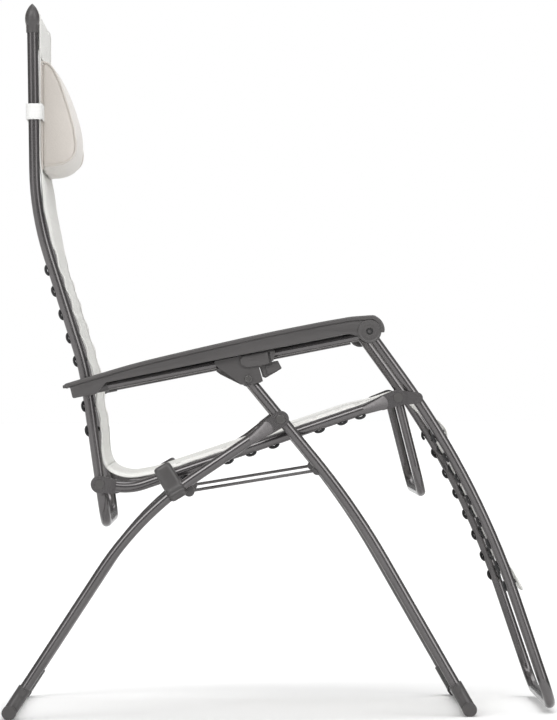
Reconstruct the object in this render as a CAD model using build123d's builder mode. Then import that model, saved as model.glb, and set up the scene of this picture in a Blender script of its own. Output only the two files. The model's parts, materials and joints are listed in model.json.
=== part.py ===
"""Zero gravity recliner: a folding camping chair of bent steel tube with a laced fabric sling.

The sitter faces +X, +Y is the sitter's left and +Z is up.  The origin is on the floor, under the
middle of the chair.  Spots are written as (x, z) in the side view; every sided piece is made on the
left and mirrored to the right.
"""

import os
from math import hypot

from build123d import *

# ---- driving dimensions, in millimetres ----------------------------------------------------------

TUBE_R = 8.5  # 17 mm frame tube
WALL = 1.2
PIN_R = 4.0  # pivots of the frame
RUN = 0.05  # radial clearance of a pin in its hole
GAP = 0.3  # clearance between bodies that slide past each other
WASHER_R = 13.0

# Side-view spots of the pivots.
LEG_CROSSING = (2.8, 469.1)
LOCK_BOLT = (-47.6, 532.4)  # top of the front leg
SEAT_PIVOT = (-177.6, 379.4)  # the seat rail on its clamp
BACK_PIVOT = (-283.1, 367.5)  # rear end of the seat rail
LEGREST_PIVOT = (188.6, 501.9)  # front end of the seat rail
ARM_REAR = (-303.6, 521.1)  # armrest on the back tube
ARM_FRONT = (142.9, 606.1)  # armrest on the legrest tube
ROD_FRONT = (60.0, 388.0)  # stay rod on the front leg
ROD_REAR = (-141.4, 356.5)  # stay rod at the clamp

# Side-view spots of the bends and ends.
FRONT_FLOOR = (297.3, 11.0)
FRONT_LEG_KNEE = (116.8, 329.8)
REAR_FLOOR = (-425.6, 11.0)
REAR_LEG_KNEE = (-221.7, 319.1)
RAIL_KNEE = (-233.7, 360.6)
BACK_TOP = (-386.0, 1108.0)
BACK_UPPER_KNEE = (-383.0, 797.0)
BACK_LOWER_KNEE = (-306.7, 549.6)
BACK_FOOT = (-273.7, 308.0)
LEGREST_KNEE = (309.5, 373.5)
LEGREST_FOOT = (428.4, 16.0)
CALF_LOOP_FOOT = (225.6, 352.0)

# Bend radii.
FRONT_LEG_BEND = 1190
REAR_LEG_BEND = 520
RAIL_BEND = 90
BACK_UPPER_BEND = 470
BACK_LOWER_BEND = 380
LEGREST_BEND = 1300
CROSS_BEND = 42  # where a side tube turns into its cross bar

# How far each layer of the folding frame stands from the middle plane.
BACK_Y = 259.0  # back and legrest tubes
RAIL_Y = 281.0
FRONT_LEG_Y = 303.0  # front leg, with the arm guide tube above it
REAR_LEG_Y = 321.0
CALF_Y = 257.0
CALF_R = 7.0
ROD_Y = 287.2
ROD_R = 2.5

# Floor bars and feet.
FOOT_R = 11.3
FLOOR_BAR_R = 8.0
FOOT_SLEEVE_R = 10.6
FOOT_SLEEVE = 46.0
LEG_INSET = 14.0  # a leg ends this far above its floor bar's axis

# Flattened tube ends.
FLAT_R = 13.0
FLAT_T = 4.0
FLAT_REACH = 58.0

# Clamp that slides on the rear leg.
CLAMP_SPOT = (-168.6, 354.9)
CLAMP_R = 12.4
CLAMP_BORE_R = 9.3

# Armrest.
ARM_HALF = 27.0
ARM_SKIN = 3.0
GUIDE_R = 6.8
GUIDE_DROP = 4.6  # the guide tube's axis lies this far under the line of the arm's two pivots
GUIDE_FROM, GUIDE_TO = 24.0, 436.0  # along the line of the arm's pivots
BOSS_R = 17.5
SPACER_R = 9.0
RIVET_DEPTH = 12.0  # how far the rear rivet goes into the armrest's block
CHEEK_T = 3.6

# Plastic caps on the back's top corners.
CAP_R = 11.0
CAP_TIP = 1128.0
CAP_SKIN = 1.2
CAP_SLEEVE = 26.0

# Sling, lacing and pillow.
SLING_T = 4.0
SLING_RISE = 12.5  # middle of the back's cloth in front of the back tube's axis
SEAT_RISE = 14.5  # over the seat rail's axis
LEGREST_RISE = 9.5
CORD_R = 2.2
LACE_PITCH = 38.0
BIGHT_R = 2.6  # short loop of cord that shows behind the tube
BIGHT = 14.0
EDGE_GAP = 15.0  # from a side tube's axis to the edge of the cloth
PILLOW_HALF = 190.0
STRAP_T = 1.4
STRAP_H = 25.0
STRAP_Z = 957.0
STRAP_X = -383.6  # middle of the strap's loop
STRAP_HALF_DEPTH = 11.9


# ---- geometry helpers: each adds to the part that is being built ---------------------------------


def at(spot, y):
    """The point in space over a side-view spot."""
    return (spot[0], y, spot[1])


def heading(start, end):
    """Unit vector between two side-view spots."""
    reach = hypot(end[0] - start[0], end[1] - start[1])
    return ((end[0] - start[0]) / reach, (end[1] - start[1]) / reach)


def along(start, end, distance):
    """The spot that lies a distance from start, towards end."""
    step = heading(start, end)
    return (start[0] + step[0] * distance, start[1] + step[1] * distance)


def beside(spots, distance):
    """The same route moved to its left by a distance, corners mitred."""
    moved = []
    for i, spot in enumerate(spots):
        before = heading(spots[max(i - 1, 0)], spots[max(i, 1)])
        after = heading(spots[min(i, len(spots) - 2)], spots[min(i + 1, len(spots) - 1)])
        normal = (-before[1] - after[1], before[0] + after[0])
        scale = 2 * distance / (normal[0] ** 2 + normal[1] ** 2)
        moved.append((spot[0] + normal[0] * scale, spot[1] + normal[1] * scale))
    return moved


def side_plane(y):
    """Side-view drawing plane at y: an extrusion from it runs towards the middle of the chair."""
    return Plane.XZ.offset(-y)


def tube(points, radii, radius=TUBE_R, wall=WALL, mode=Mode.ADD):
    """Round tube of straight runs joined by tangent arcs; with no wall it is a solid bar."""
    with BuildLine() as route:
        if radii:
            FilletPolyline(*points, radius=radii)
        else:
            Line(*points)
    with BuildSketch(Plane(origin=route.line @ 0, z_dir=route.line % 0)) as section:
        Circle(radius)
        if wall:
            Circle(radius - wall, mode=Mode.SUBTRACT)
    sweep(section.sketch, path=route.line, mode=mode)


def cross_pin(spot, y_from, y_to, radius, mode=Mode.ADD):
    """Round bar across the chair, or its hole."""
    with BuildSketch(side_plane(y_to)) as disc:
        with Locations(spot):
            Circle(radius)
    extrude(disc.sketch, amount=y_to - y_from, mode=mode)


def hull_plate(discs, y_from, y_to, mode=Mode.ADD):
    """Plate whose side view is the hull of discs, each (spot, radius)."""
    with BuildSketch(side_plane(y_to)) as outline:
        for spot, radius in discs:
            with Locations(spot):
                Circle(radius)
        make_hull()
    extrude(outline.sketch, amount=y_to - y_from, mode=mode)


def flattened_end(pivot, onward, tube_y, plate_y):
    """The pressed end of a tube: a round-ended plate that swells back into the tube."""
    hull_plate(
        [(pivot, FLAT_R), (along(pivot, onward, FLAT_REACH * 0.45), FLAT_R - 1.5)],
        plate_y - FLAT_T / 2,
        plate_y + FLAT_T / 2,
    )
    step = heading(pivot, onward)
    across = (-step[1], 0, step[0])
    thin = along(pivot, onward, FLAT_REACH * 0.3)
    full = along(pivot, onward, FLAT_REACH)
    with BuildSketch(Plane(at(thin, plate_y), x_dir=across, z_dir=(step[0], 0, step[1]))) as flat:
        Ellipse(FLAT_R - 1.6, FLAT_T / 2 - 0.1)
    with BuildSketch(Plane(at(full, tube_y), x_dir=across, z_dir=(step[0], 0, step[1]))) as round_end:
        Circle(TUBE_R)
    loft([flat.sketch, round_end.sketch])


def ribbon(spots, radii, thickness, half_width):
    """Flat cloth panel, drawn as a line in the side view and spread across the chair."""
    with BuildSketch(side_plane(half_width)) as strip:
        with BuildLine():
            if radii:
                FilletPolyline(*spots, radius=radii)
            else:
                Line(*spots)
        trace(line_width=thickness)
    extrude(strip.sketch, amount=2 * half_width)


def lace(points, radii, rise, first, places):
    """Elastic lacing at steps of its pitch: a strand to the cloth's edge, a bight behind the tube."""
    with BuildLine() as route:
        FilletPolyline(*points, radius=radii)
    wire = route.wires()[0]
    strand_from = TUBE_R + CORD_R + 1.2
    for place in places:
        reach = first + place * LACE_PITCH
        centre = wire.position_at(reach, position_mode=PositionMode.LENGTH)
        onward = wire.tangent_at(reach, position_mode=PositionMode.LENGTH)
        forward = Vector(-onward.Z, 0, onward.X)
        inward = Vector(0, -1, 0)
        with Locations(Plane(centre - forward * (TUBE_R + BIGHT_R + 0.05), z_dir=onward)):
            Cylinder(BIGHT_R, BIGHT)
        tube(
            [
                centre + (forward + inward).normalized() * strand_from,
                centre + forward * rise + inward * (EDGE_GAP - CORD_R - 0.3),
            ],
            None,
            radius=CORD_R,
            wall=0,
        )


def mirrored(left):
    """The right-hand twin of a left-hand piece."""
    with BuildPart() as right:
        mirror(left.part, about=Plane.XZ)
    return right


# ---- feet and floor bars -------------------------------------------------------------------------


def foot(floor_spot, knee, y):
    """Plastic foot: a barrel round the floor bar, a sleeve up the leg and a screw boss."""
    cross_pin(floor_spot, y - 20, y + 14, FOOT_R)
    with BuildLine() as route:
        Line(at(floor_spot, y), at(along(floor_spot, knee, FOOT_SLEEVE), y))
    with BuildSketch(Plane(origin=route.line @ 0, z_dir=route.line % 0)) as sleeve:
        Circle(FOOT_SLEEVE_R)
    sweep(sleeve.sketch, path=route.line)
    boss = along(floor_spot, knee, 38)
    cross_pin(boss, y + 4, y + 13, 5.5)
    with BuildLine() as leg_end:
        Line(at(along(floor_spot, knee, LEG_INSET), y), at(along(floor_spot, knee, 80), y))
    with BuildSketch(Plane(origin=leg_end.line @ 0, z_dir=leg_end.line % 0)) as bore:
        Circle(TUBE_R)
    sweep(bore.sketch, path=leg_end.line, mode=Mode.SUBTRACT)
    cross_pin(floor_spot, y - 30, y + 10, FLOOR_BAR_R, mode=Mode.SUBTRACT)
    with BuildSketch(Plane.XY) as below:
        with Locations((floor_spot[0], y)):
            Rectangle(60, 90)
    extrude(below.sketch, amount=-20, mode=Mode.SUBTRACT)


def floor_bar(floor_spot, y):
    """Tube between the two feet."""
    tube([at(floor_spot, -y - 10), at(floor_spot, y + 10)], None, radius=FLOOR_BAR_R)


# ---- front legs ----------------------------------------------------------------------------------

FRONT_LEG_ROUTE = [
    at(LOCK_BOLT, FRONT_LEG_Y),
    at(FRONT_LEG_KNEE, FRONT_LEG_Y),
    at(along(FRONT_FLOOR, FRONT_LEG_KNEE, LEG_INSET), FRONT_LEG_Y),
]

with BuildPart() as front_leg_left:
    tube(FRONT_LEG_ROUTE, [FRONT_LEG_BEND])
    cross_pin(LOCK_BOLT, FRONT_LEG_Y - TUBE_R + 0.4, FRONT_LEG_Y + TUBE_R - 0.4, 11)
    cross_pin(LEG_CROSSING, FRONT_LEG_Y - 10, FRONT_LEG_Y + 10, PIN_R, mode=Mode.SUBTRACT)

front_leg_right = mirrored(front_leg_left)

with BuildPart() as front_floor_bar:
    floor_bar(FRONT_FLOOR, FRONT_LEG_Y)

with BuildPart() as front_foot_left:
    foot(FRONT_FLOOR, FRONT_LEG_KNEE, FRONT_LEG_Y)

front_foot_right = mirrored(front_foot_left)

with BuildPart() as leg_pivot_rivets:
    rivet_inner = FRONT_LEG_Y - TUBE_R
    rivet_outer = REAR_LEG_Y - TUBE_R + FLAT_T + GAP
    cross_pin(LEG_CROSSING, rivet_inner, rivet_outer, PIN_R)
    cross_pin(LEG_CROSSING, rivet_inner - 1.2, rivet_inner, 6.5)
    cross_pin(LEG_CROSSING, rivet_outer, rivet_outer + 2.4, 7.5)
    fillet(faces().sort_by(Axis.Y)[-1].edges(), radius=1.6)
    mirror(about=Plane.XZ)

with BuildPart() as stay_rod_lugs:
    cross_pin(ROD_FRONT, ROD_Y + ROD_R + GAP, FRONT_LEG_Y, 7.5)
    cross_pin(ROD_FRONT, ROD_Y, FRONT_LEG_Y - TUBE_R, ROD_R + RUN, mode=Mode.SUBTRACT)
    tube(FRONT_LEG_ROUTE, [FRONT_LEG_BEND], wall=0, mode=Mode.SUBTRACT)
    mirror(about=Plane.XZ)


# ---- rear legs -----------------------------------------------------------------------------------

REAR_LEG_ROUTE = [
    at(along(LEG_CROSSING, REAR_LEG_KNEE, FLAT_REACH), REAR_LEG_Y),
    at(REAR_LEG_KNEE, REAR_LEG_Y),
    at(along(REAR_FLOOR, REAR_LEG_KNEE, LEG_INSET), REAR_LEG_Y),
]

with BuildPart() as rear_leg_left:
    flattened_end(LEG_CROSSING, REAR_LEG_KNEE, REAR_LEG_Y, REAR_LEG_Y - TUBE_R + FLAT_T / 2)
    tube(REAR_LEG_ROUTE, [REAR_LEG_BEND])
    cross_pin(LEG_CROSSING, FRONT_LEG_Y, REAR_LEG_Y + 10, PIN_R + RUN, mode=Mode.SUBTRACT)

rear_leg_right = mirrored(rear_leg_left)

with BuildPart() as rear_floor_bar:
    floor_bar(REAR_FLOOR, REAR_LEG_Y)

with BuildPart() as rear_foot_left:
    foot(REAR_FLOOR, REAR_LEG_KNEE, REAR_LEG_Y)

rear_foot_right = mirrored(rear_foot_left)


# ---- clamps that slide on the rear legs, and the stay rods ---------------------------------------

CLAMP_FROM = (CLAMP_SPOT[0] - 15.0, CLAMP_SPOT[1] - 11.7)
CLAMP_TO = (CLAMP_SPOT[0] + 15.0, CLAMP_SPOT[1] + 11.7)

with BuildPart() as rear_clamp_left:
    hull_plate(
        [(SEAT_PIVOT, 12.0), (ROD_REAR, 8.5), ((-187.0, 343.0), 8.0), ((-166.0, 334.0), 6.0)],
        RAIL_Y + TUBE_R + GAP + 0.5,
        REAR_LEG_Y - 4,
    )
    tube([at(CLAMP_FROM, REAR_LEG_Y), at(CLAMP_TO, REAR_LEG_Y)], None, radius=CLAMP_R, wall=0)
    tube(REAR_LEG_ROUTE, [REAR_LEG_BEND], radius=CLAMP_BORE_R, wall=0, mode=Mode.SUBTRACT)
    cross_pin(SEAT_PIVOT, RAIL_Y, 304, PIN_R + RUN, mode=Mode.SUBTRACT)

rear_clamp_right = mirrored(rear_clamp_left)

with BuildPart() as stay_rods:
    rod_start = along(ROD_FRONT, ROD_REAR, 5)
    rod_end = along(ROD_REAR, ROD_FRONT, 5)
    tube([at(rod_start, ROD_Y), at(rod_end, ROD_Y)], None, radius=ROD_R, wall=0)
    for spot in (ROD_FRONT, ROD_REAR):
        cross_pin(spot, ROD_Y - 2.8, ROD_Y + 2.1, 6.5)
        cross_pin(spot, ROD_Y - 4.2, ROD_Y - 2.8, 4.2)
    cross_pin(ROD_FRONT, ROD_Y, FRONT_LEG_Y - TUBE_R - 1, ROD_R)
    mirror(about=Plane.XZ)


# ---- seat ----------------------------------------------------------------------------------------

RAIL_PLATE_Y = RAIL_Y - TUBE_R + FLAT_T / 2  # pressed ends lie on the inner side of the rail

RAIL_REAR = along(BACK_PIVOT, RAIL_KNEE, 26)
SEAT_RAIL_ROUTE = [
    at(RAIL_REAR, RAIL_Y),
    at(RAIL_KNEE, RAIL_Y),
    at(along(LEGREST_PIVOT, RAIL_KNEE, FLAT_REACH), RAIL_Y),
]

with BuildPart() as seat_rail_left:
    hull_plate([(BACK_PIVOT, FLAT_R + 1), (RAIL_REAR, 11)], RAIL_Y - TUBE_R + 0.4, RAIL_Y - TUBE_R + 5.4)
    tube(SEAT_RAIL_ROUTE, [RAIL_BEND])
    flattened_end(LEGREST_PIVOT, RAIL_KNEE, RAIL_Y, RAIL_PLATE_Y)
    for pivot in (BACK_PIVOT, LEGREST_PIVOT, SEAT_PIVOT):
        cross_pin(pivot, BACK_Y, FRONT_LEG_Y, PIN_R + RUN, mode=Mode.SUBTRACT)

seat_rail_right = mirrored(seat_rail_left)

with BuildPart() as seat_pivot_pins:
    cross_pin(SEAT_PIVOT, RAIL_Y - TUBE_R - 0.2, 303, PIN_R)
    cross_pin(SEAT_PIVOT, RAIL_Y - TUBE_R - 2.4, RAIL_Y - TUBE_R - 0.2, WASHER_R)
    mirror(about=Plane.XZ)

with BuildPart() as sling_seat:
    seat_middle = [along(RAIL_KNEE, LEGREST_PIVOT, 22), along(LEGREST_PIVOT, RAIL_KNEE, 22)]
    ribbon(beside(seat_middle, SEAT_RISE), None, SLING_T, RAIL_Y - EDGE_GAP)

with BuildPart() as sling_rear_corner:
    ribbon([(-280.4, 451.0), (-267.5, 377.5), (-218.5, 382.0)], [18], SLING_T, BACK_Y - EDGE_GAP)

with BuildPart() as sling_front_corner:
    ribbon([(170.0, 508.5), (209.0, 519.5), (257.6, 461.4)], [26], SLING_T, BACK_Y - EDGE_GAP)

with BuildPart() as lacing_seat:
    # The last lace stops short of the rail's pressed end.
    lace(SEAT_RAIL_ROUTE, [RAIL_BEND], SEAT_RISE, 106, (0, 2, 3, 4, 5, 6, 7, 7.75))
    mirror(about=Plane.XZ)


# ---- back ----------------------------------------------------------------------------------------

BACK_BAR_END = BACK_Y - 2 * CROSS_BEND  # where the lower cross bar begins
BACK_ROUTE = [
    at((BACK_TOP[0], BACK_TOP[1] - 9), BACK_Y),
    at(BACK_UPPER_KNEE, BACK_Y),
    at(BACK_LOWER_KNEE, BACK_Y),
    at(BACK_FOOT, BACK_Y),
    at(BACK_FOOT, BACK_BAR_END),
]
BACK_BENDS = [BACK_UPPER_BEND, BACK_LOWER_BEND, CROSS_BEND]

with BuildPart() as back_tube_left:
    tube(BACK_ROUTE, BACK_BENDS)
    cross_pin(BACK_PIVOT, BACK_Y - 12, BACK_Y + 12, PIN_R + RUN, mode=Mode.SUBTRACT)

back_tube_right = mirrored(back_tube_left)

with BuildPart() as back_top_bar:
    tube([at(BACK_TOP, 12 - BACK_Y), at(BACK_TOP, BACK_Y - 12)], None)

with BuildPart() as back_lower_bar:
    tube([at(BACK_FOOT, -BACK_BAR_END), at(BACK_FOOT, BACK_BAR_END)], None)

cap_side = BACK_TOP[0] + TUBE_R + CAP_SKIN

with BuildPart() as back_corner_caps:
    with BuildSketch(Plane.XZ.offset(-BACK_Y)) as acorn:
        with BuildLine():
            Spline(
                (BACK_TOP[0], CAP_TIP),
                (BACK_TOP[0] + 7, CAP_TIP - 8),
                (BACK_TOP[0] + CAP_R, BACK_TOP[1] + 1),
                (cap_side, BACK_TOP[1] - 14),
            )
            Line((cap_side, BACK_TOP[1] - 14), (cap_side, BACK_TOP[1] - CAP_SLEEVE))
            Line((cap_side, BACK_TOP[1] - CAP_SLEEVE), (BACK_TOP[0], BACK_TOP[1] - CAP_SLEEVE))
            Line((BACK_TOP[0], BACK_TOP[1] - CAP_SLEEVE), (BACK_TOP[0], CAP_TIP))
        make_face()
    revolve(acorn.sketch, axis=Axis((BACK_TOP[0], BACK_Y, 0), (0, 0, 1)))
    tube([at(BACK_TOP, BACK_Y), at(BACK_TOP, BACK_Y - 34)], None, radius=TUBE_R + CAP_SKIN, wall=0)
    tube([at(BACK_TOP, BACK_Y - 12), at(BACK_TOP, BACK_Y - 40)], None, wall=0, mode=Mode.SUBTRACT)
    tube(BACK_ROUTE, BACK_BENDS, wall=0, mode=Mode.SUBTRACT)
    mirror(about=Plane.XZ)

with BuildPart() as back_pivot_rivets:
    cross_pin(BACK_PIVOT, BACK_Y - 9.2, RAIL_Y - TUBE_R + 5.4, PIN_R)
    cross_pin(BACK_PIVOT, BACK_Y - 11, BACK_Y - 9.2, 6.5)
    cross_pin(BACK_PIVOT, RAIL_Y - TUBE_R + 5.4, RAIL_Y - TUBE_R + 7.8, 7.5)
    mirror(about=Plane.XZ)

with BuildPart() as sling_back:
    laced_from = along(BACK_UPPER_KNEE, BACK_LOWER_KNEE, 110)
    laced_to = along(BACK_LOWER_KNEE, BACK_FOOT, 92)
    laced = beside([laced_from, BACK_LOWER_KNEE, laced_to], SLING_RISE)
    behind_pillow = [
        (BACK_TOP[0] + 10.8, BACK_TOP[1] - 6),
        (STRAP_X + 7, STRAP_Z - 14),
        (BACK_UPPER_KNEE[0] + 8, BACK_UPPER_KNEE[1]),
    ]
    ribbon(behind_pillow + laced, [300, 120, 300, BACK_LOWER_BEND / 2], SLING_T, BACK_Y - EDGE_GAP)

with BuildPart() as lacing_back:
    lace(BACK_ROUTE, BACK_BENDS, SLING_RISE, 392, (0, 1, 2, 3, 4, 6, 7))
    mirror(about=Plane.XZ)


# ---- pillow --------------------------------------------------------------------------------------

PILLOW_BACK_X = -370.0

with BuildPart() as pillow:
    hull_plate(
        [
            ((PILLOW_BACK_X + 13, 1021), 12),
            ((PILLOW_BACK_X + 31, 892), 30),
            ((PILLOW_BACK_X + 38, 925), 27),
            ((PILLOW_BACK_X + 13, 872), 12),
        ],
        -PILLOW_HALF,
        PILLOW_HALF,
    )
    fillet(edges().filter_by(Axis.Y, reverse=True), radius=9)

with BuildPart() as pillow_strap:
    with BuildSketch(Plane.XY.offset(STRAP_Z - STRAP_H / 2)) as loop:
        with Locations((STRAP_X, 0)):
            RectangleRounded(2 * (STRAP_HALF_DEPTH + STRAP_T), 2 * (BACK_Y + 10 + STRAP_T), 11)
            RectangleRounded(2 * STRAP_HALF_DEPTH, 2 * (BACK_Y + 10), 9.6, mode=Mode.SUBTRACT)
    extrude(loop.sketch, amount=STRAP_H)


# ---- legrest -------------------------------------------------------------------------------------

LEGREST_ROUTE = [
    at(ARM_FRONT, BACK_Y),
    at(LEGREST_KNEE, BACK_Y),
    at(LEGREST_FOOT, BACK_Y),
    at(LEGREST_FOOT, BACK_BAR_END),
]

with BuildPart() as legrest_tube_left:
    tube(LEGREST_ROUTE, [LEGREST_BEND, CROSS_BEND])
    cross_pin(ARM_FRONT, BACK_Y - TUBE_R + 0.4, BACK_Y + TUBE_R - 0.4, 10)
    cross_pin(ARM_FRONT, BACK_Y - 12, BACK_Y + 12, PIN_R + RUN, mode=Mode.SUBTRACT)

legrest_tube_right = mirrored(legrest_tube_left)

with BuildPart() as legrest_bottom_bar:
    tube([at(LEGREST_FOOT, -BACK_BAR_END), at(LEGREST_FOOT, BACK_BAR_END)], None)

HINGE_WELD = (219.0, 501.0)

with BuildPart() as legrest_hinge_plates:
    hull_plate([(LEGREST_PIVOT, 12), (HINGE_WELD, 9)], BACK_Y + TUBE_R + 0.05, BACK_Y + TUBE_R + 2.6)
    cross_pin(LEGREST_PIVOT, BACK_Y, RAIL_Y, PIN_R + RUN, mode=Mode.SUBTRACT)
    mirror(about=Plane.XZ)

with BuildPart() as calf_loop_left:
    tube(
        [
            at(along(LEGREST_PIVOT, CALF_LOOP_FOOT, 4), CALF_Y),
            at(CALF_LOOP_FOOT, CALF_Y),
            at(CALF_LOOP_FOOT, CALF_Y - 2 * CROSS_BEND),
        ],
        [CROSS_BEND],
        radius=CALF_R,
    )
    cross_pin(LEGREST_PIVOT, CALF_Y - CALF_R + 0.4, CALF_Y + CALF_R - 0.4, 9.5)
    cross_pin(LEGREST_PIVOT, CALF_Y - 12, CALF_Y + 12, PIN_R + RUN, mode=Mode.SUBTRACT)

calf_loop_right = mirrored(calf_loop_left)

with BuildPart() as calf_loop_bar:
    calf_end = CALF_Y - 2 * CROSS_BEND
    tube([at(CALF_LOOP_FOOT, -calf_end), at(CALF_LOOP_FOOT, calf_end)], None, radius=CALF_R)

with BuildPart() as legrest_pivot_rivets:
    cross_pin(LEGREST_PIVOT, CALF_Y - 7.4, RAIL_Y - TUBE_R + FLAT_T + GAP, PIN_R)
    cross_pin(LEGREST_PIVOT, CALF_Y - 9.2, CALF_Y - 7.4, 6.5)
    cross_pin(LEGREST_PIVOT, RAIL_Y - TUBE_R + FLAT_T + GAP, RAIL_Y - TUBE_R + FLAT_T + 2.7, 7.5)
    mirror(about=Plane.XZ)

with BuildPart() as sling_legrest:
    legrest_middle = [
        along(LEGREST_KNEE, ARM_FRONT, 92),
        LEGREST_KNEE,
        along(LEGREST_KNEE, LEGREST_FOOT, 176),
    ]
    ribbon(beside(legrest_middle, LEGREST_RISE), [400], SLING_T, BACK_Y - EDGE_GAP)

with BuildPart() as lacing_legrest:
    lace(LEGREST_ROUTE, [LEGREST_BEND, CROSS_BEND], LEGREST_RISE, 196, range(8))
    mirror(about=Plane.XZ)


# ---- armrests ------------------------------------------------------------------------------------

ARM_IN = FRONT_LEG_Y - ARM_HALF
ARM_OUT = FRONT_LEG_Y + ARM_HALF
ARM_STEP = heading(ARM_REAR, ARM_FRONT)


def arm_spot(reach, rise):
    """Side-view spot in the armrest's own frame: reach from the rear pivot, rise over the line of pivots."""
    return (
        ARM_REAR[0] + ARM_STEP[0] * reach - ARM_STEP[1] * rise,
        ARM_REAR[1] + ARM_STEP[1] * reach + ARM_STEP[0] * rise,
    )


GUIDE_TOP = GUIDE_R - GUIDE_DROP
GROOVE = GUIDE_TOP - 0.9  # the cap's lower edge, which the guide tube is let into
GUIDE_ROUTE = [
    at(arm_spot(GUIDE_FROM, -GUIDE_DROP), FRONT_LEG_Y),
    at(arm_spot(GUIDE_TO, -GUIDE_DROP), FRONT_LEG_Y),
]

with BuildPart() as armrest_left:
    with BuildSketch(side_plane(ARM_OUT)) as cap:
        with BuildLine():
            Spline(
                arm_spot(-29, 11), arm_spot(24, 16), arm_spot(103, 22.5), arm_spot(260, 28),
                arm_spot(372, 29), arm_spot(430, 28), arm_spot(462, 20),
            )
            Line(arm_spot(462, 20), arm_spot(462, GROOVE + 4))
            Line(arm_spot(462, GROOVE + 4), arm_spot(34, GROOVE))
            Line(arm_spot(34, GROOVE), arm_spot(18, -13.5))
            Line(arm_spot(18, -13.5), arm_spot(-22, -13.5))
            Line(arm_spot(-22, -13.5), arm_spot(-29, 11))
        make_face()
    extrude(cap.sketch, amount=2 * ARM_HALF)
    with BuildSketch(side_plane(ARM_OUT - ARM_SKIN - 8)) as hollow:
        with BuildLine():
            Polyline(
                arm_spot(40, GROOVE - 4), arm_spot(40, 13), arm_spot(110, 18), arm_spot(260, 23.5),
                arm_spot(400, 23.5), arm_spot(400, GROOVE - 4), close=True,
            )
        make_face()
    extrude(hollow.sketch, amount=2 * (ARM_HALF - ARM_SKIN - 8), mode=Mode.SUBTRACT)
    cross_pin(ARM_FRONT, FRONT_LEG_Y - TUBE_R + 0.3, FRONT_LEG_Y + TUBE_R - 0.3, BOSS_R)
    cross_pin(ARM_FRONT, FRONT_LEG_Y - 20, FRONT_LEG_Y + TUBE_R - 4, PIN_R + RUN, mode=Mode.SUBTRACT)
    cross_pin(ARM_FRONT, ARM_IN - 1, FRONT_LEG_Y - TUBE_R, SPACER_R + GAP, mode=Mode.SUBTRACT)
    cross_pin(ARM_REAR, ARM_IN - 1, ARM_IN + RIVET_DEPTH, PIN_R, mode=Mode.SUBTRACT)
    tube(GUIDE_ROUTE, None, radius=GUIDE_R, wall=0, mode=Mode.SUBTRACT)

armrest_right = mirrored(armrest_left)

with BuildPart() as arm_guide_tube_left:
    tube(GUIDE_ROUTE, None, radius=GUIDE_R)

arm_guide_tube_right = mirrored(arm_guide_tube_left)

with BuildPart() as arm_rear_rivets:
    cross_pin(ARM_REAR, ARM_IN, ARM_IN + RIVET_DEPTH, PIN_R)
    mirror(about=Plane.XZ)

with BuildPart() as arm_rear_bushes:
    cross_pin(ARM_REAR, BACK_Y + TUBE_R - 1.5, ARM_IN - GAP, 8)
    tube(
        [at(BACK_UPPER_KNEE, BACK_Y), at(BACK_LOWER_KNEE, BACK_Y), at(BACK_FOOT, BACK_Y)],
        [BACK_LOWER_BEND],
        wall=0,
        mode=Mode.SUBTRACT,
    )
    mirror(about=Plane.XZ)

with BuildPart() as arm_pivot_screws:
    screw_end = FRONT_LEG_Y + TUBE_R - 4.2
    cross_pin(ARM_FRONT, BACK_Y - TUBE_R, screw_end, PIN_R)
    cross_pin(ARM_FRONT, BACK_Y - TUBE_R - 3, BACK_Y - TUBE_R - 0.2, 7)
    mirror(about=Plane.XZ)

with BuildPart() as arm_spacers:
    cross_pin(ARM_FRONT, BACK_Y + TUBE_R + GAP, FRONT_LEG_Y - TUBE_R - CHEEK_T - 1.2, SPACER_R)
    cross_pin(ARM_FRONT, BACK_Y, FRONT_LEG_Y, PIN_R + RUN, mode=Mode.SUBTRACT)
    mirror(about=Plane.XZ)


# ---- armrest locks -------------------------------------------------------------------------------

LOCK_REACH = (LOCK_BOLT[0] - ARM_REAR[0]) * ARM_STEP[0] + (LOCK_BOLT[1] - ARM_REAR[1]) * ARM_STEP[1]
LOCK_RISE = (LOCK_BOLT[1] - ARM_REAR[1]) * ARM_STEP[0] - (LOCK_BOLT[0] - ARM_REAR[0]) * ARM_STEP[1]
UNDER_GUIDE = -GUIDE_DROP - GUIDE_R - 0.7
LEVER_PIVOT = arm_spot(LOCK_REACH + 29, GROOVE - 16.9)
LEVER_PIN_R = 1.6

with BuildPart() as lock_slide_blocks:
    with BuildSketch(side_plane(FRONT_LEG_Y + 10)) as gib:
        with BuildLine():
            Polyline(
                arm_spot(LOCK_REACH - 46, GUIDE_TOP + GAP),
                arm_spot(LOCK_REACH - 46, GUIDE_TOP + 7),
                arm_spot(LOCK_REACH + 8, GUIDE_TOP + 7),
                arm_spot(LOCK_REACH + 8, GUIDE_TOP + GAP),
                close=True,
            )
        make_face()
    extrude(gib.sketch, amount=20)
    mirror(about=Plane.XZ)

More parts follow.
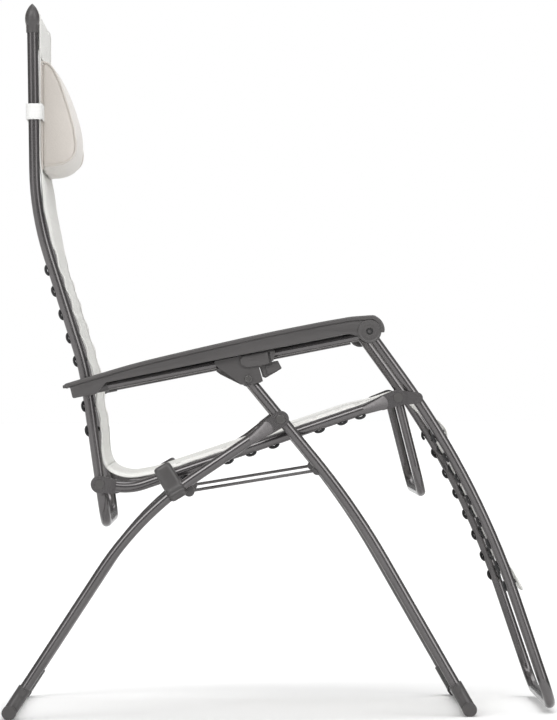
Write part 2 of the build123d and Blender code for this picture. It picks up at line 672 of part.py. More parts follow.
with BuildPart() as lock_bracket_left:
    with BuildSketch(side_plane(FRONT_LEG_Y + TUBE_R + GAP + CHEEK_T)) as outer_cheek:
        with BuildLine():
            Polyline(
                arm_spot(LOCK_REACH - 49, GROOVE - GAP), arm_spot(LOCK_REACH - 43, GROOVE - 12),
                arm_spot(LOCK_REACH - 13, LOCK_RISE - 5), arm_spot(LOCK_REACH + 4, LOCK_RISE - 10),
                arm_spot(LOCK_REACH + 22, LOCK_RISE - 8), arm_spot(LOCK_REACH + 20, GROOVE - 21),
                arm_spot(LOCK_REACH + 40, GROOVE - 20), arm_spot(LOCK_REACH + 47, GROOVE - 12),
                arm_spot(LOCK_REACH + 50, GROOVE - GAP), close=True,
            )
        make_face()
        fillet(vertices(), radius=2.5)
    extrude(outer_cheek.sketch, amount=CHEEK_T)
    with BuildSketch(side_plane(FRONT_LEG_Y - TUBE_R - GAP)) as inner_cheek:
        with BuildLine():
            Polyline(
                arm_spot(LOCK_REACH - 49, UNDER_GUIDE), arm_spot(LOCK_REACH - 43, GROOVE - 20),
                arm_spot(LOCK_REACH - 13, LOCK_RISE - 5), arm_spot(LOCK_REACH + 4, LOCK_RISE - 10),
                arm_spot(LOCK_REACH + 22, LOCK_RISE - 8), arm_spot(LOCK_REACH + 20, GROOVE - 21),
                arm_spot(LOCK_REACH + 35, GROOVE - 21), arm_spot(LOCK_REACH + 35, UNDER_GUIDE),
                close=True,
            )
        make_face()
    extrude(inner_cheek.sketch, amount=CHEEK_T)
    with BuildSketch(side_plane(FRONT_LEG_Y + TUBE_R + GAP + CHEEK_T / 2)) as web:
        with BuildLine():
            Polyline(
                arm_spot(LOCK_REACH - 46, UNDER_GUIDE), arm_spot(LOCK_REACH - 42, UNDER_GUIDE - 5),
                arm_spot(LOCK_REACH - 20, UNDER_GUIDE - 5), arm_spot(LOCK_REACH - 20, UNDER_GUIDE),
                close=True,
            )
        make_face()
    extrude(web.sketch, amount=2 * (TUBE_R + GAP) + CHEEK_T)
    cross_pin(LEVER_PIVOT, FRONT_LEG_Y - 20, FRONT_LEG_Y + 20, LEVER_PIN_R, mode=Mode.SUBTRACT)

lock_bracket_right = mirrored(lock_bracket_left)

with BuildPart() as lock_bolts:
    bolt_seat = FRONT_LEG_Y + TUBE_R + GAP + CHEEK_T
    cross_pin(LOCK_BOLT, bolt_seat, bolt_seat + 3, 6)
    fillet(faces().sort_by(Axis.Y)[-1].edges(), radius=1.4)
    mirror(about=Plane.XZ)

with BuildPart() as lock_lever_pins:
    pin_from = FRONT_LEG_Y - TUBE_R - GAP - CHEEK_T - 1.2
    pin_to = FRONT_LEG_Y + TUBE_R + GAP + CHEEK_T
    cross_pin(LEVER_PIVOT, pin_from, pin_to, LEVER_PIN_R)
    cross_pin(LEVER_PIVOT, pin_from, pin_from + 1, 3)
    mirror(about=Plane.XZ)

with BuildPart() as lock_lever_left:
    hull_plate(
        [(LEVER_PIVOT, 3.4), (arm_spot(LOCK_REACH + 32, GROOVE - 24), 5)],
        FRONT_LEG_Y - TUBE_R + 0.3,
        FRONT_LEG_Y + TUBE_R - 0.3,
    )
    with BuildSketch(side_plane(FRONT_LEG_Y + TUBE_R - 0.3)) as paddle:
        with BuildLine():
            Polyline(
                arm_spot(LOCK_REACH + 24, GROOVE - 18.5), arm_spot(LOCK_REACH + 51, GROOVE - 18.5),
                arm_spot(LOCK_REACH + 55, GROOVE - 32), arm_spot(LOCK_REACH + 46, GROOVE - 35),
                arm_spot(LOCK_REACH + 32, GROOVE - 40), arm_spot(LOCK_REACH + 26, GROOVE - 38),
                close=True,
            )
        make_face()
        fillet(vertices(), radius=2)
    extrude(paddle.sketch, amount=2 * TUBE_R - 0.6)
    cross_pin(LEVER_PIVOT, FRONT_LEG_Y - 10, FRONT_LEG_Y + 10, LEVER_PIN_R + RUN, mode=Mode.SUBTRACT)

lock_lever_right = mirrored(lock_lever_left)


# ---- files ---------------------------------------------------------------------------------------

PIECES = {
    "front_leg_left": front_leg_left,
    "front_leg_right": front_leg_right,
    "front_floor_bar": front_floor_bar,
    "front_foot_left": front_foot_left,
    "front_foot_right": front_foot_right,
    "leg_pivot_rivets": leg_pivot_rivets,
    "stay_rod_lugs": stay_rod_lugs,
    "rear_leg_left": rear_leg_left,
    "rear_leg_right": rear_leg_right,
    "rear_floor_bar": rear_floor_bar,
    "rear_foot_left": rear_foot_left,
    "rear_foot_right": rear_foot_right,
    "rear_clamp_left": rear_clamp_left,
    "rear_clamp_right": rear_clamp_right,
    "stay_rods": stay_rods,
    "seat_rail_left": seat_rail_left,
    "seat_rail_right": seat_rail_right,
    "seat_pivot_pins": seat_pivot_pins,
    "sling_seat": sling_seat,
    "lacing_seat": lacing_seat,
    "sling_rear_corner": sling_rear_corner,
    "sling_front_corner": sling_front_corner,
    "back_tube_left": back_tube_left,
    "back_tube_right": back_tube_right,
    "back_top_bar": back_top_bar,
    "back_lower_bar": back_lower_bar,
    "back_corner_caps": back_corner_caps,
    "back_pivot_rivets": back_pivot_rivets,
    "sling_back": sling_back,
    "lacing_back": lacing_back,
    "pillow": pillow,
    "pillow_strap": pillow_strap,
    "legrest_tube_left": legrest_tube_left,
    "legrest_tube_right": legrest_tube_right,
    "legrest_bottom_bar": legrest_bottom_bar,
    "legrest_hinge_plates": legrest_hinge_plates,
    "calf_loop_left": calf_loop_left,
    "calf_loop_right": calf_loop_right,
    "calf_loop_bar": calf_loop_bar,
    "legrest_pivot_rivets": legrest_pivot_rivets,
    "sling_legrest": sling_legrest,
    "lacing_legrest": lacing_legrest,
    "armrest_left": armrest_left,
    "armrest_right": armrest_right,
    "arm_guide_tube_left": arm_guide_tube_left,
    "arm_guide_tube_right": arm_guide_tube_right,
    "arm_rear_rivets": arm_rear_rivets,
    "arm_rear_bushes": arm_rear_bushes,
    "arm_pivot_screws": arm_pivot_screws,
    "arm_spacers": arm_spacers,
    "lock_slide_blocks": lock_slide_blocks,
    "lock_bracket_left": lock_bracket_left,
    "lock_bracket_right": lock_bracket_right,
    "lock_bolts": lock_bolts,
    "lock_lever_pins": lock_lever_pins,
    "lock_lever_left": lock_lever_left,
    "lock_lever_right": lock_lever_right,
}

os.makedirs("parts", exist_ok=True)
for name, piece in PIECES.items():
    piece.part.label = name
    export_step(piece.part, f"parts/{name}.step")
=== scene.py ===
"""Looks of the zero gravity recliner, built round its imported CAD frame.

Row frame, metres: +X is where the sitter faces, +Y the sitter's left, +Z up.  The sling and its lacing,
the pillow and its strap, the armrests, the clamps and the trim on the locks are made here; the tubes and
the other fittings keep their CAD meshes.
"""

import json
import math

import bmesh
import bpy
import numpy as np
from mathutils import Matrix, Vector


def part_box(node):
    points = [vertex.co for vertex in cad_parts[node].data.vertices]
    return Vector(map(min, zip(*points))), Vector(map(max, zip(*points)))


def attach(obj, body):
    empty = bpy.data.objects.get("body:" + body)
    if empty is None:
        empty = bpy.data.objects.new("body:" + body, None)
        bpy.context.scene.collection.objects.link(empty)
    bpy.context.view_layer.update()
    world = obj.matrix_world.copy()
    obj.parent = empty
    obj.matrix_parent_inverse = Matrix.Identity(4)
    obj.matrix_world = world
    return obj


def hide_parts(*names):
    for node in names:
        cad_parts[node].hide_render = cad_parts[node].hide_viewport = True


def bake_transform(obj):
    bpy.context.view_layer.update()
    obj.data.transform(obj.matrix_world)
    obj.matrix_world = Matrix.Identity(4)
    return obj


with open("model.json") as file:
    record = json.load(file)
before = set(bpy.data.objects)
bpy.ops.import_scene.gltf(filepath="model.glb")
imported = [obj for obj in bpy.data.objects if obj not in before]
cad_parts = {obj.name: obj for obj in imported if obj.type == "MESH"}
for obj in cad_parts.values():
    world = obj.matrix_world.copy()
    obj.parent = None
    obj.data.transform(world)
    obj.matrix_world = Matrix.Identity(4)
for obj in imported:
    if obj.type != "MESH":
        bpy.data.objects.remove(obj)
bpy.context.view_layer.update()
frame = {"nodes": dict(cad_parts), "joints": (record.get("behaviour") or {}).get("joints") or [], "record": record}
scene = bpy.context.scene
MM = 0.001
NODES = frame["nodes"]
JOINTS = {joint["name"]: joint for joint in frame["joints"]}

# ---- camera, light and floor -----------------------------------------------------------------------


def make_camera():
    data = bpy.data.cameras.new("camera")
    data.lens = 267
    data.sensor_width = 36
    data.clip_end = 200
    cam = bpy.data.objects.new("camera", data)
    scene.collection.objects.link(cam)
    cam.location = (-0.067, -8.7, 0.505)
    aim = Vector((0, -0.3, 0.562)) - cam.location
    look = aim.to_track_quat("-Z", "Y").to_matrix().to_4x4()
    roll = Matrix.Rotation(-0.0054, 4, "Z")
    cam.matrix_world = Matrix.Translation(cam.location) @ look @ roll
    scene.camera = cam


def make_sun(name, direction, strength, spread):
    """Soft light from a direction, even over the whole floor."""
    data = bpy.data.lights.new(name, "SUN")
    data.energy = strength
    data.angle = math.radians(spread)
    sun = bpy.data.objects.new(name, data)
    sun.rotation_euler = (-Vector(direction)).to_track_quat("-Z", "Y").to_euler()
    scene.collection.objects.link(sun)


# Brightness of the studio from behind the object (0) round to where its near side faces (1).
PANEL_RING = [(0, 0.12), (0.45, 0.05), (0.74, 0.03), (0.80, 1.1), (0.89, 1.1), (0.93, 0.07), (1, 0.04)]
PANEL_LIGHT = 2.3
LOW_SHARE = 0.35  # of the panels' light below the object
ROOF_LIGHT = 0.55


def add_node(tree, kind, inputs=(), **settings):
    """A node with its settings; inputs pairs a socket with a value or another node's output."""
    node = tree.nodes.new("ShaderNode" + kind)
    for key, value in settings.items():
        setattr(node, key, value)
    for socket, value in inputs:
        if isinstance(value, bpy.types.NodeSocket):
            tree.links.new(value, node.inputs[socket])
        else:
            node.inputs[socket].default_value = value
    return node


def add_range(tree, value, from_min, from_max, to_min, to_max):
    """Output of a value mapped from one range to another, and held at its ends."""
    inputs = [("Value", value), ("From Min", from_min), ("From Max", from_max)]
    return add_node(tree, "MapRange", inputs + [("To Min", to_min), ("To Max", to_max)]).outputs[0]


def make_world():
    """Studio light with a ring of soft panels on the side that faces -Y; the camera sees plain white."""
    world = bpy.data.worlds.new("studio")
    world.use_nodes = True
    tree = world.node_tree
    tree.nodes.clear()
    direction = add_node(tree, "TexCoord").outputs["Generated"]
    _, y, z = add_node(tree, "SeparateXYZ", [(0, direction)]).outputs
    shade = add_node(tree, "ValToRGB", [(0, add_range(tree, y, 1, -1, 0, 1))])
    elements = shade.color_ramp.elements
    while len(elements) < len(PANEL_RING):
        elements.new(0.5)
    for element, (spot, level) in zip(elements, PANEL_RING):
        element.position = spot
        element.color = (level, level, level, 1)
    lift = add_range(tree, z, -0.5, 0.25, LOW_SHARE * PANEL_LIGHT, PANEL_LIGHT)
    panels = add_node(tree, "Math", [(0, shade.outputs["Color"]), (1, lift)], operation="MULTIPLY").outputs[0]
    roof = add_range(tree, z, 0.2, 1, 0, ROOF_LIGHT)
    level = add_node(tree, "Math", [(0, panels), (1, roof)]).outputs[0]
    white = (1, 1, 1, 1)
    light = add_node(tree, "Background", [("Color", white), ("Strength", level)]).outputs[0]
    backdrop = add_node(tree, "Background", [("Color", white), ("Strength", 1)]).outputs[0]
    seen = add_node(tree, "LightPath").outputs["Is Camera Ray"]
    mix = add_node(tree, "MixShader", [(0, seen), (1, light), (2, backdrop)]).outputs[0]
    add_node(tree, "OutputWorld", [(0, mix)])
    scene.world = world


make_camera()
make_world()
make_sun("key", (-0.55, -1.0, 0.85), 0.55, 30)
make_sun("fill", (1.0, -0.75, 0.6), 0.4, 30)
make_sun("top", (0.25, 0.45, 1.0), 1.1, 50)
scene.view_settings.view_transform = "Standard"

# ---- materials -------------------------------------------------------------------------------------


class Finish:
    """A node material under construction."""

    def __init__(self, name, colour, roughness, **sockets):
        self.material = bpy.data.materials.new(name)
        self.material.use_nodes = True
        self.tree = self.material.node_tree
        self.shader = self.tree.nodes["Principled BSDF"]
        self.shader.inputs["Base Color"].default_value = (*colour, 1)
        self.shader.inputs["Roughness"].default_value = roughness
        for socket, value in sockets.items():
            self.shader.inputs[socket.replace("_", " ")].default_value = value
        self.colour = colour
        self.height = None

    def add(self, kind, inputs=(), **settings):
        return add_node(self.tree, kind, inputs, **settings)

    def math(self, operation, *values):
        return self.add("Math", list(enumerate(values)), operation=operation).outputs[0]

    def coords(self, kind="Object"):
        return self.add("TexCoord").outputs[kind]

    def split(self, vector):
        return self.add("SeparateXYZ", [(0, vector)]).outputs

    def noise(self, vector, scale, detail=2.0):
        return self.add("TexNoise", [("Vector", vector), ("Scale", scale), ("Detail", detail)]).outputs["Fac"]

    def ramp(self, factor, low, high):
        """factor from 0 to 1 turned into a number from low to high."""
        return self.add("MapRange", [("Value", factor), ("To Min", low), ("To Max", high)]).outputs[0]

    def tint(self, factor, dark, light):
        """Base colour that runs from dark to light times the finish's own colour."""
        low = tuple(min(1, c * dark) for c in self.colour) + (1,)
        high = tuple(min(1, c * light) for c in self.colour) + (1,)
        mix = self.add("Mix", data_type="RGBA")
        mix.inputs[6].default_value = low
        mix.inputs[7].default_value = high
        self.tree.links.new(factor, mix.inputs[0])
        self.tree.links.new(mix.outputs[2], self.shader.inputs["Base Color"])

    def rough(self, factor, low, high):
        self.tree.links.new(self.ramp(factor, low, high), self.shader.inputs["Roughness"])

    def bump(self, height, distance, strength=1.0):
        """Adds a layer of relief, distance metres deep, over those before it."""
        inputs = [("Height", height), ("Distance", distance), ("Strength", strength)]
        if self.height:
            inputs.append(("Normal", self.height))
        self.height = self.add("Bump", inputs).outputs[0]
        self.tree.links.new(self.height, self.shader.inputs["Normal"])


def painted(name, colour, roughness, grain, depth, **sockets):
    """Powder coat or moulded plastic: fine grain, cloudy tone and uneven gloss."""
    finish = Finish(name, colour, roughness, **sockets)
    place = finish.coords()
    fine = finish.noise(place, grain, 3)
    cloud = finish.noise(place, 14, 4)
    finish.tint(cloud, 0.86, 1.14)
    finish.rough(cloud, roughness - 0.07, roughness + 0.07)
    finish.bump(fine, depth)
    finish.bump(finish.noise(place, grain / 7), depth * 1.5, 0.5)
    return finish.material


def woven(name, colour, roughness, pitch, depth, kind="UV", pore_shade=0.6, **sockets):
    """Plain weave of round threads, pitch metres apart, with the pores between them painted darker as painted
    shade.
    """
    finish = Finish(name, colour, roughness, **sockets)
    place = finish.coords(kind)
    across, along, _ = finish.split(place)
    turns = math.pi / pitch
    warp = finish.math("SINE", finish.math("MULTIPLY", across, turns))
    weft = finish.math("SINE", finish.math("MULTIPLY", along, turns))
    over = finish.math("MULTIPLY", finish.math("SIGN", finish.math("MULTIPLY", warp, weft)), 0.22)
    warp = finish.math("MULTIPLY", finish.math("ABSOLUTE", warp), finish.math("ADD", 0.78, over))
    weft = finish.math("MULTIPLY", finish.math("ABSOLUTE", weft), finish.math("SUBTRACT", 0.78, over))
    thread = finish.math("MAXIMUM", warp, weft)
    slub = finish.noise(place, 0.35 / pitch, 3)
    cloud = finish.noise(place, 9, 3)
    tone = finish.math("MULTIPLY", thread, finish.ramp(slub, 0.82, 1.12))
    tone = finish.math("MULTIPLY", tone, finish.ramp(cloud, 0.93, 1.07))
    # Painted shade: the colour darkens where the threads dip, in the pores between them.
    finish.tint(tone, pore_shade, 1.09)
    finish.rough(slub, roughness - 0.06, roughness + 0.06)
    finish.bump(thread, depth)
    finish.bump(cloud, 0.0012, 0.35)
    return finish.material


def ribbed(name, colour, roughness, pitch, depth, lengthwise=True):
    """Narrow woven tape with ribs, pitch metres apart; the grooves between the ribs are painted darker as painted
    shade.
    """
    finish = Finish(name, colour, roughness, Sheen_Weight=0.15)
    place = finish.coords("UV")
    across, along, _ = finish.split(place)
    turns = 2 * math.pi / pitch
    rib = finish.math("SINE", finish.math("MULTIPLY", across if lengthwise else along, turns))
    pick = finish.math("SINE", finish.math("MULTIPLY", along if lengthwise else across, turns * 2.6))
    height = finish.ramp(finish.math("ADD", rib, finish.math("MULTIPLY", pick, 0.4)), 0.4, 0.8)
    slub = finish.noise(place, 260, 3)
    # Painted shade: darker in the grooves between the ribs, where the relief is low.
    finish.tint(finish.math("MULTIPLY", height, finish.ramp(slub, 0.8, 1.2)), 0.72, 1.12)
    finish.bump(height, depth)
    finish.bump(slub, depth * 0.6, 0.6)
    return finish.material


def braided(name, colour, roughness, pitch, depth):
    """Round braid: two sets of strands that cross on the slant, with painted shade between the strands and a
    painted highlight on their crowns.
    """
    finish = Finish(name, colour, roughness, Sheen_Weight=0.1)
    place = finish.coords("UV")
    across, along, _ = finish.split(place)
    turns = math.pi / pitch
    left = finish.math("SINE", finish.math("MULTIPLY", finish.math("ADD", across, along), turns))
    right = finish.math("SINE", finish.math("MULTIPLY", finish.math("SUBTRACT", across, along), turns))
    strand = finish.math("ABSOLUTE", finish.math("MULTIPLY", left, right))
    # Painted shade between the strands and painted highlight on their crowns, both taken from the strand relief.
    finish.tint(strand, 0.4, 1.8)
    finish.bump(strand, depth)
    return finish.material


def heathered(name, colour):
    """Padded melange cloth: a fine twill with light and dark yarns, and painted shade in the dips of the twill."""
    finish = Finish(name, colour, 0.88, Sheen_Weight=0.25, Sheen_Roughness=0.5)
    place = finish.coords()
    x, y, z = finish.split(place)
    slant = finish.math("ADD", finish.math("ADD", x, y), finish.math("MULTIPLY", z, 1.0))
    twill = finish.math("SINE", finish.math("MULTIPLY", slant, 2 * math.pi / 0.0022))
    weft = finish.math("SINE", finish.math("MULTIPLY", finish.math("SUBTRACT", z, y), 2 * math.pi / 0.0016))
    yarn = finish.ramp(finish.math("ADD", twill, finish.math("MULTIPLY", weft, 0.6)), 0.45, 0.75)
    fleck = finish.noise(place, 620, 3)
    cloud = finish.noise(place, 16, 3)
    tone = finish.math("MULTIPLY", yarn, finish.ramp(fleck, 0.7, 1.3))
    # Darker in the dips of the twill relief: painted shade; the flecks and clouds are the yarns' own tone.
    finish.tint(finish.math("MULTIPLY", tone, finish.ramp(cloud, 0.92, 1.08)), 0.72, 1.2)
    finish.bump(yarn, 0.00035)
    finish.bump(fleck, 0.0003, 0.7)
    return finish.material


PAINT = painted("tube_paint", (0.132, 0.126, 0.127), 0.23, 1500, 0.00002, Metallic=0.8)
PLASTIC = painted("moulded_plastic", (0.063, 0.0595, 0.059), 0.38, 2300, 0.00006)
STEEL = painted("fastener_steel", (0.12, 0.116, 0.113), 0.25, 1900, 0.00003, Metallic=0.65)
# Near-black screw heads: painted shade that stands in for the dark of the recess at the front pivots.
RECESS_SHADE = painted("screw_recess_painted_shade", (0.010, 0.010, 0.010), 0.5, 1900, 0.00003)
MESH = woven("sling_mesh", (0.86, 0.855, 0.825), 0.7, 0.0011, 0.0003, Sheen_Weight=0.1)
TAPE = ribbed("hem_tape", (0.83, 0.825, 0.795), 0.78, 0.0024, 0.0002)
THREAD = ribbed("thread", (0.76, 0.75, 0.72), 0.6, 0.0006, 0.0001, lengthwise=False)
CORD = braided("lacing_cord", (0.016, 0.016, 0.017), 0.72, 0.0017, 0.0003)
EYELET = painted("eyelet", (0.60, 0.595, 0.57), 0.4, 1800, 0.00003)
# The end panels and their welts take this darker copy of the pillow cloth: painted shade, against the lighter
# front.
PILLOW_END_SHADED = heathered("pillow_cloth", (0.62, 0.58, 0.54))
PILLOW_FRONT = heathered("pillow_cloth_front", (0.72, 0.69, 0.655))
ELASTIC = ribbed("strap_elastic", (0.80, 0.80, 0.785), 0.7, 0.0021, 0.0003)

for part in frame["record"]["subparts"]:
    looks = {"tube_paint": PAINT, "moulded_plastic": PLASTIC, "fastener_steel": STEEL, "lacing_cord": CORD}
    node = NODES[part["node"]]
    finish = looks.get(part["material_slot"], MESH)
    for slot in node.material_slots:
        slot.material = finish

# ---- geometry helpers --------------------------------------------------------------------------------


class Shape:
    """Vertices, faces, UVs and material numbers of a piece as it is put together."""

    def __init__(self):
        self.verts = []
        self.faces = []
        self.uvs = []
        self.slots = []

    def grid(self, rows, us, vs, closed=False, capped=False, slot=0):
        """Rows of points joined into a skin; closed rows meet themselves, and caps close the two ends."""
        first = len(self.verts)
        width = len(rows[0])
        for row in rows:
            self.verts += [tuple(point) for point in row]
        for i in range(len(rows) - 1):
            for j in range(width if closed else width - 1):
                k = (j + 1) % width
                low = first + i * width
                high = low + width
                self.faces.append((low + j, low + k, high + k, high + j))
                u, v, u_next, v_next = us[j], vs[i], us[j + 1], vs[i + 1]
                self.uvs.append(((u, v), (u_next, v), (u_next, v_next), (u, v_next)))
                self.slots.append(slot)
        if capped:
            last = first + (len(rows) - 1) * width
            start_ring = range(first + width - 1, first - 1, -1)
            end_ring = range(last, last + width)
            for ring, v in ((start_ring, vs[0]), (end_ring, vs[-1])):
                self.faces.append(tuple(ring))
                self.uvs.append(tuple((0.0, v) for _ in ring))
                self.slots.append(slot)

    def sweep(self, path, side, section, capped=True, slot=0, scale=None):
        """Carries a closed section, pairs of (towards side, off it), along a path of points."""
        path = [Vector(point) for point in path]
        rows = []
        vs = [0.0]
        for i, point in enumerate(path):
            onward = (path[min(i + 1, len(path) - 1)] - path[max(i - 1, 0)]).normalized()
            sideways = (side - onward * side.dot(onward)).normalized()
            upward = onward.cross(sideways)
            grow = scale[i] if scale else 1.0
            rows.append([point + sideways * a * grow + upward * b * grow for a, b in section])
            if i:
                vs.append(vs[-1] + (point - path[i - 1]).length)
        us = [0.0]
        for j, (a, b) in enumerate(section):
            c, d = section[(j + 1) % len(section)]
            us.append(us[-1] + math.hypot(c - a, d - b))
        self.grid(rows, us, vs, closed=True, capped=capped, slot=slot)

    def lathe(self, centre, axis, profile, turns=24, slot=0):
        """Turns a profile, pairs of (radius, height along the axis), about a centre."""
        first = axis.orthogonal().normalized()
        second = axis.cross(first)
        rows = []
        vs = [0.0]
        for i, (radius, height) in enumerate(profile):
            ring = []
            for k in range(turns):
                angle = 2 * math.pi * k / turns
                spoke = first * math.cos(angle) + second * math.sin(angle)
                ring.append(centre + spoke * radius + axis * height)
            rows.append(ring)
            if i:
                vs.append(vs[-1] + math.hypot(radius - profile[i - 1][0], height - profile[i - 1][1]))
        reach = 2 * math.pi * max(radius for radius, _ in profile)
        self.grid(rows, [reach * k / turns for k in range(turns + 1)], vs, closed=True, slot=slot)

    def build(self, name, *materials, smooth=True, thickness=0.0):
        mesh = bpy.data.meshes.new(name)
        mesh.from_pydata(self.verts, [], self.faces)
        layer = mesh.uv_layers.new(name="UVMap")
        layer.data.foreach_set("uv", [c for face in self.uvs for uv in face for c in uv])
        mesh.polygons.foreach_set("material_index", self.slots)
        mesh.polygons.foreach_set("use_smooth", [smooth] * len(mesh.polygons))
        for material in materials:
            mesh.materials.append(material)
        mesh.update()
        obj = bpy.data.objects.new(name, mesh)
        scene.collection.objects.link(obj)
        if thickness:
            solid = obj.modifiers.new("thickness", "SOLIDIFY")
            solid.thickness = thickness
            solid.offset = 0
            apply_modifiers(obj)
        return obj


def apply_modifiers(obj):
    """Makes the object's mesh what its modifiers show."""
    graph = bpy.context.evaluated_depsgraph_get()
    final = bpy.data.meshes.new_from_object(obj.evaluated_get(graph))
    obj.modifiers.clear()
    obj.data = final


def disc(radius, sides=10):
    """Round section."""
    return [
        (radius * math.cos(2 * math.pi * k / sides), radius * math.sin(2 * math.pi * k / sides))
        for k in range(sides)
    ]


def smooth_line(points, step):
    """Catmull-Rom curve through the points, about step apart."""
    pts = [np.array(p, float) for p in points]
    pts = [2 * pts[0] - pts[1]] + pts + [2 * pts[-1] - pts[-2]]
    line = []
    for a, b, c, d in zip(pts, pts[1:], pts[2:], pts[3:]):
        steps = max(2, int(round(np.linalg.norm(c - b) / step)))
        for k in range(steps):
            t = k / steps
            bend = (2 * a - 5 * b + 4 * c - d) * t**2 + (3 * b - a - 3 * c + d) * t**3
            line.append(0.5 * (2 * b + (c - a) * t + bend))
    line.append(pts[-2])
    return line


def joint_spot(name):
    """A hinge's place in the side view."""
    x, _, z = JOINTS[name]["pos_m"]
    return np.array((x, z))


def side_middle(node):
    """Middle of a node's box in the side view."""
    low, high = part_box(node)
    return np.array(((low.x + high.x) / 2, (low.z + high.z) / 2))


def crossing(node, axis, value):
    """Middle, in the side view, of where a plane cuts a CAD node."""
    mesh = NODES[node].data
    verts = np.array([v.co for v in mesh.vertices])
    edges = np.array([e.vertices[:] for e in mesh.edges])
    a, b = verts[edges[:, 0]], verts[edges[:, 1]]
    cut = (a[:, axis] - value) * (b[:, axis] - value) < 0
    a, b = a[cut], b[cut]
    t = ((value - a[:, axis]) / (b[:, axis] - a[:, axis]))[:, None]
    spots = (a + (b - a) * t)[:, (0, 2)]
    return (spots.min(0) + spots.max(0)) / 2


def loose_parts(node):
    """Middle and size of each separate solid of a CAD node."""
    mesh = bmesh.new()
    mesh.from_mesh(NODES[node].data)
    bmesh.ops.remove_doubles(mesh, verts=mesh.verts, dist=1e-6)
    left = set(mesh.verts)
    found = []
    while left:
        stack = [left.pop()]
        island = []
        while stack:
            vert = stack.pop()
            island.append(vert.co.copy())
            for edge in vert.link_edges:
                other = edge.other_vert(vert)
                if other in left:
                    left.remove(other)
                    stack.append(other)
        island = np.array(island)
        found.append(((island.min(0) + island.max(0)) / 2, island.max(0) - island.min(0)))
    mesh.free()
    return found


def route(node, axis, values, rise):
    """Spots a distance to the sitter's side of a bent CAD tube, cut at values of one coordinate."""
    spots = [crossing(node, axis, value) for value in values]
    moved = []
    for i, spot in enumerate(spots):
        onward = spots[min(i + 1, len(spots) - 1)] - spots[max(i - 1, 0)]
        onward = onward / np.linalg.norm(onward)
        lift = rise[0] + (rise[1] - rise[0]) * i / (len(spots) - 1)
        moved.append(spot + np.array((-onward[1], onward[0])) * lift)
    return moved


# ---- sling -------------------------------------------------------------------------------------------

TUBE_R = 8.5 * MM
CLOTH_T = 1.2 * MM
BACK_HALF = 244 * MM
SEAT_HALF = 262 * MM
LACE_PITCH = 38 * MM
EYELET_INSET = 13 * MM
POCKET_R = 10.9 * MM  # the cloth's middle layer round the top bar
STRAP_HEIGHT = 0.957
BACK_PIVOT = joint_spot("back_recline")
FRONT_PIVOT = joint_spot("legrest_raise")


def side_spots(start, *steps):
    """Spots given in millimetres from a pivot."""
    return [start + np.array(step) * MM for step in steps]


# The back's cloth below the strap, millimetres in the row frame: behind the pillow, then bowed forward.
FREE_SPAN = [(-376.2, 925), (-376.2, 888), (-374.2, 868), (-367, 847), (-359.5, 805), (-352.5, 768)]


def sling_spots():
    """The sling's middle line in the side view, from the hem behind the top bar to the hem at the calves."""
    bar = side_middle("back_top_bar")
    turns = np.radians((172, 135, 95, 55, 15))
    pocket = [bar + POCKET_R * np.array((math.cos(a), math.sin(a))) for a in turns]
    flap = side_spots(bar, (10.4, -60), (3.5, -44), (-8.4, -20))
    laced = route("back_tube_right", 2, np.linspace(0.712, 0.475, 9), (12.3 * MM, 12.3 * MM))
    strap = np.array((bar[0] + 10.2 * MM, STRAP_HEIGHT))
    free = [np.array(spot) * MM for spot in FREE_SPAN]
    back = side_spots(bar, (11.0, -28), (10.6, -70), (10.3, -110)) + [strap] + free + laced
    rear = side_spots(BACK_PIVOT, (4.0, 84), (8.5, 52), (17, 32), (32, 23.0), (52, 20.5))
    seat = route("seat_rail_right", 0, np.linspace(-0.190, 0.118, 12), (20.0 * MM, 17.0 * MM))
    front = side_spots(FRONT_PIVOT, (-25.6, 3.6), (1.4, 9.3), (23.4, 1.6), (43.4, -19.4), (75.1, -49.4))
    legrest = route("legrest_tube_right", 2, np.linspace(0.425, 0.235, 8), (5.0 * MM, 9.0 * MM))
    tail = route("legrest_tube_right", 2, np.linspace(0.215, 0.192, 2), (12.5 * MM, 15.0 * MM))
    return flap + pocket + back + rear + seat + front + legrest + tail


class SideLine:
    """A line in the side view, measured by its length."""

    def __init__(self, spots):
        self.spots = np.array(smooth_line(spots, 4 * MM))
        self.reach = np.concatenate(([0], np.cumsum(np.linalg.norm(np.diff(self.spots, axis=0), axis=1))))
        self.length = self.reach[-1]

    def spot(self, s):
        return np.array([np.interp(s, self.reach, self.spots[:, k]) for k in (0, 1)])

    def normal(self, s):
        """Unit vector off the line, to the sitter's side."""
        onward = self.spot(min(s + 3 * MM, self.length)) - self.spot(max(s - 3 * MM, 0))
        onward = onward / np.linalg.norm(onward)
        return np.array((-onward[1], onward[0]))

    def nearest(self, spot, low=0.0):
        gap = np.linalg.norm(self.spots - np.array(spot), axis=1) + np.where(self.reach < low, 9.0, 0.0)
        return float(self.reach[int(np.argmin(gap))])


line = SideLine(sling_spots())
to_front = line.normal(line.length / 4)
SITTER_SIDE = 1.0 if to_front[0] > 0 else -1.0

LACES = []  # (distance along the sling, body, tube's node)
for node, body, tube_node in (
    ("lacing_back", "back", "back_tube_right"),
    ("lacing_seat", "seat", "seat_rail_right"),
    ("lacing_legrest", "legrest", "legrest_tube_right"),
):
    tube_y = (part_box(tube_node)[0].y + TUBE_R) if node == "lacing_seat" else -259 * MM
    for middle, size in loose_parts(node):
        if middle[1] < 0 and abs(middle[1] - tube_y) < 1.5 * MM:
            LACES.append((line.nearest((middle[0], middle[2]), 0.1), body, tube_y))
LACES.sort()
lace_reach = np.array([lace[0] for lace in LACES])

seat_ends = ((-0.235, 0.377), (-0.180, 0.394), (0.085, 0.49), (0.145, 0.503))
seat_wide = [line.nearest(spot, 0.6) for spot in seat_ends]


def half_width(s):
    """Half the cloth's width: the seat is wider, as its rails stand further out."""
    return float(np.interp(s, seat_wide, (BACK_HALF, SEAT_HALF, SEAT_HALF, BACK_HALF)))


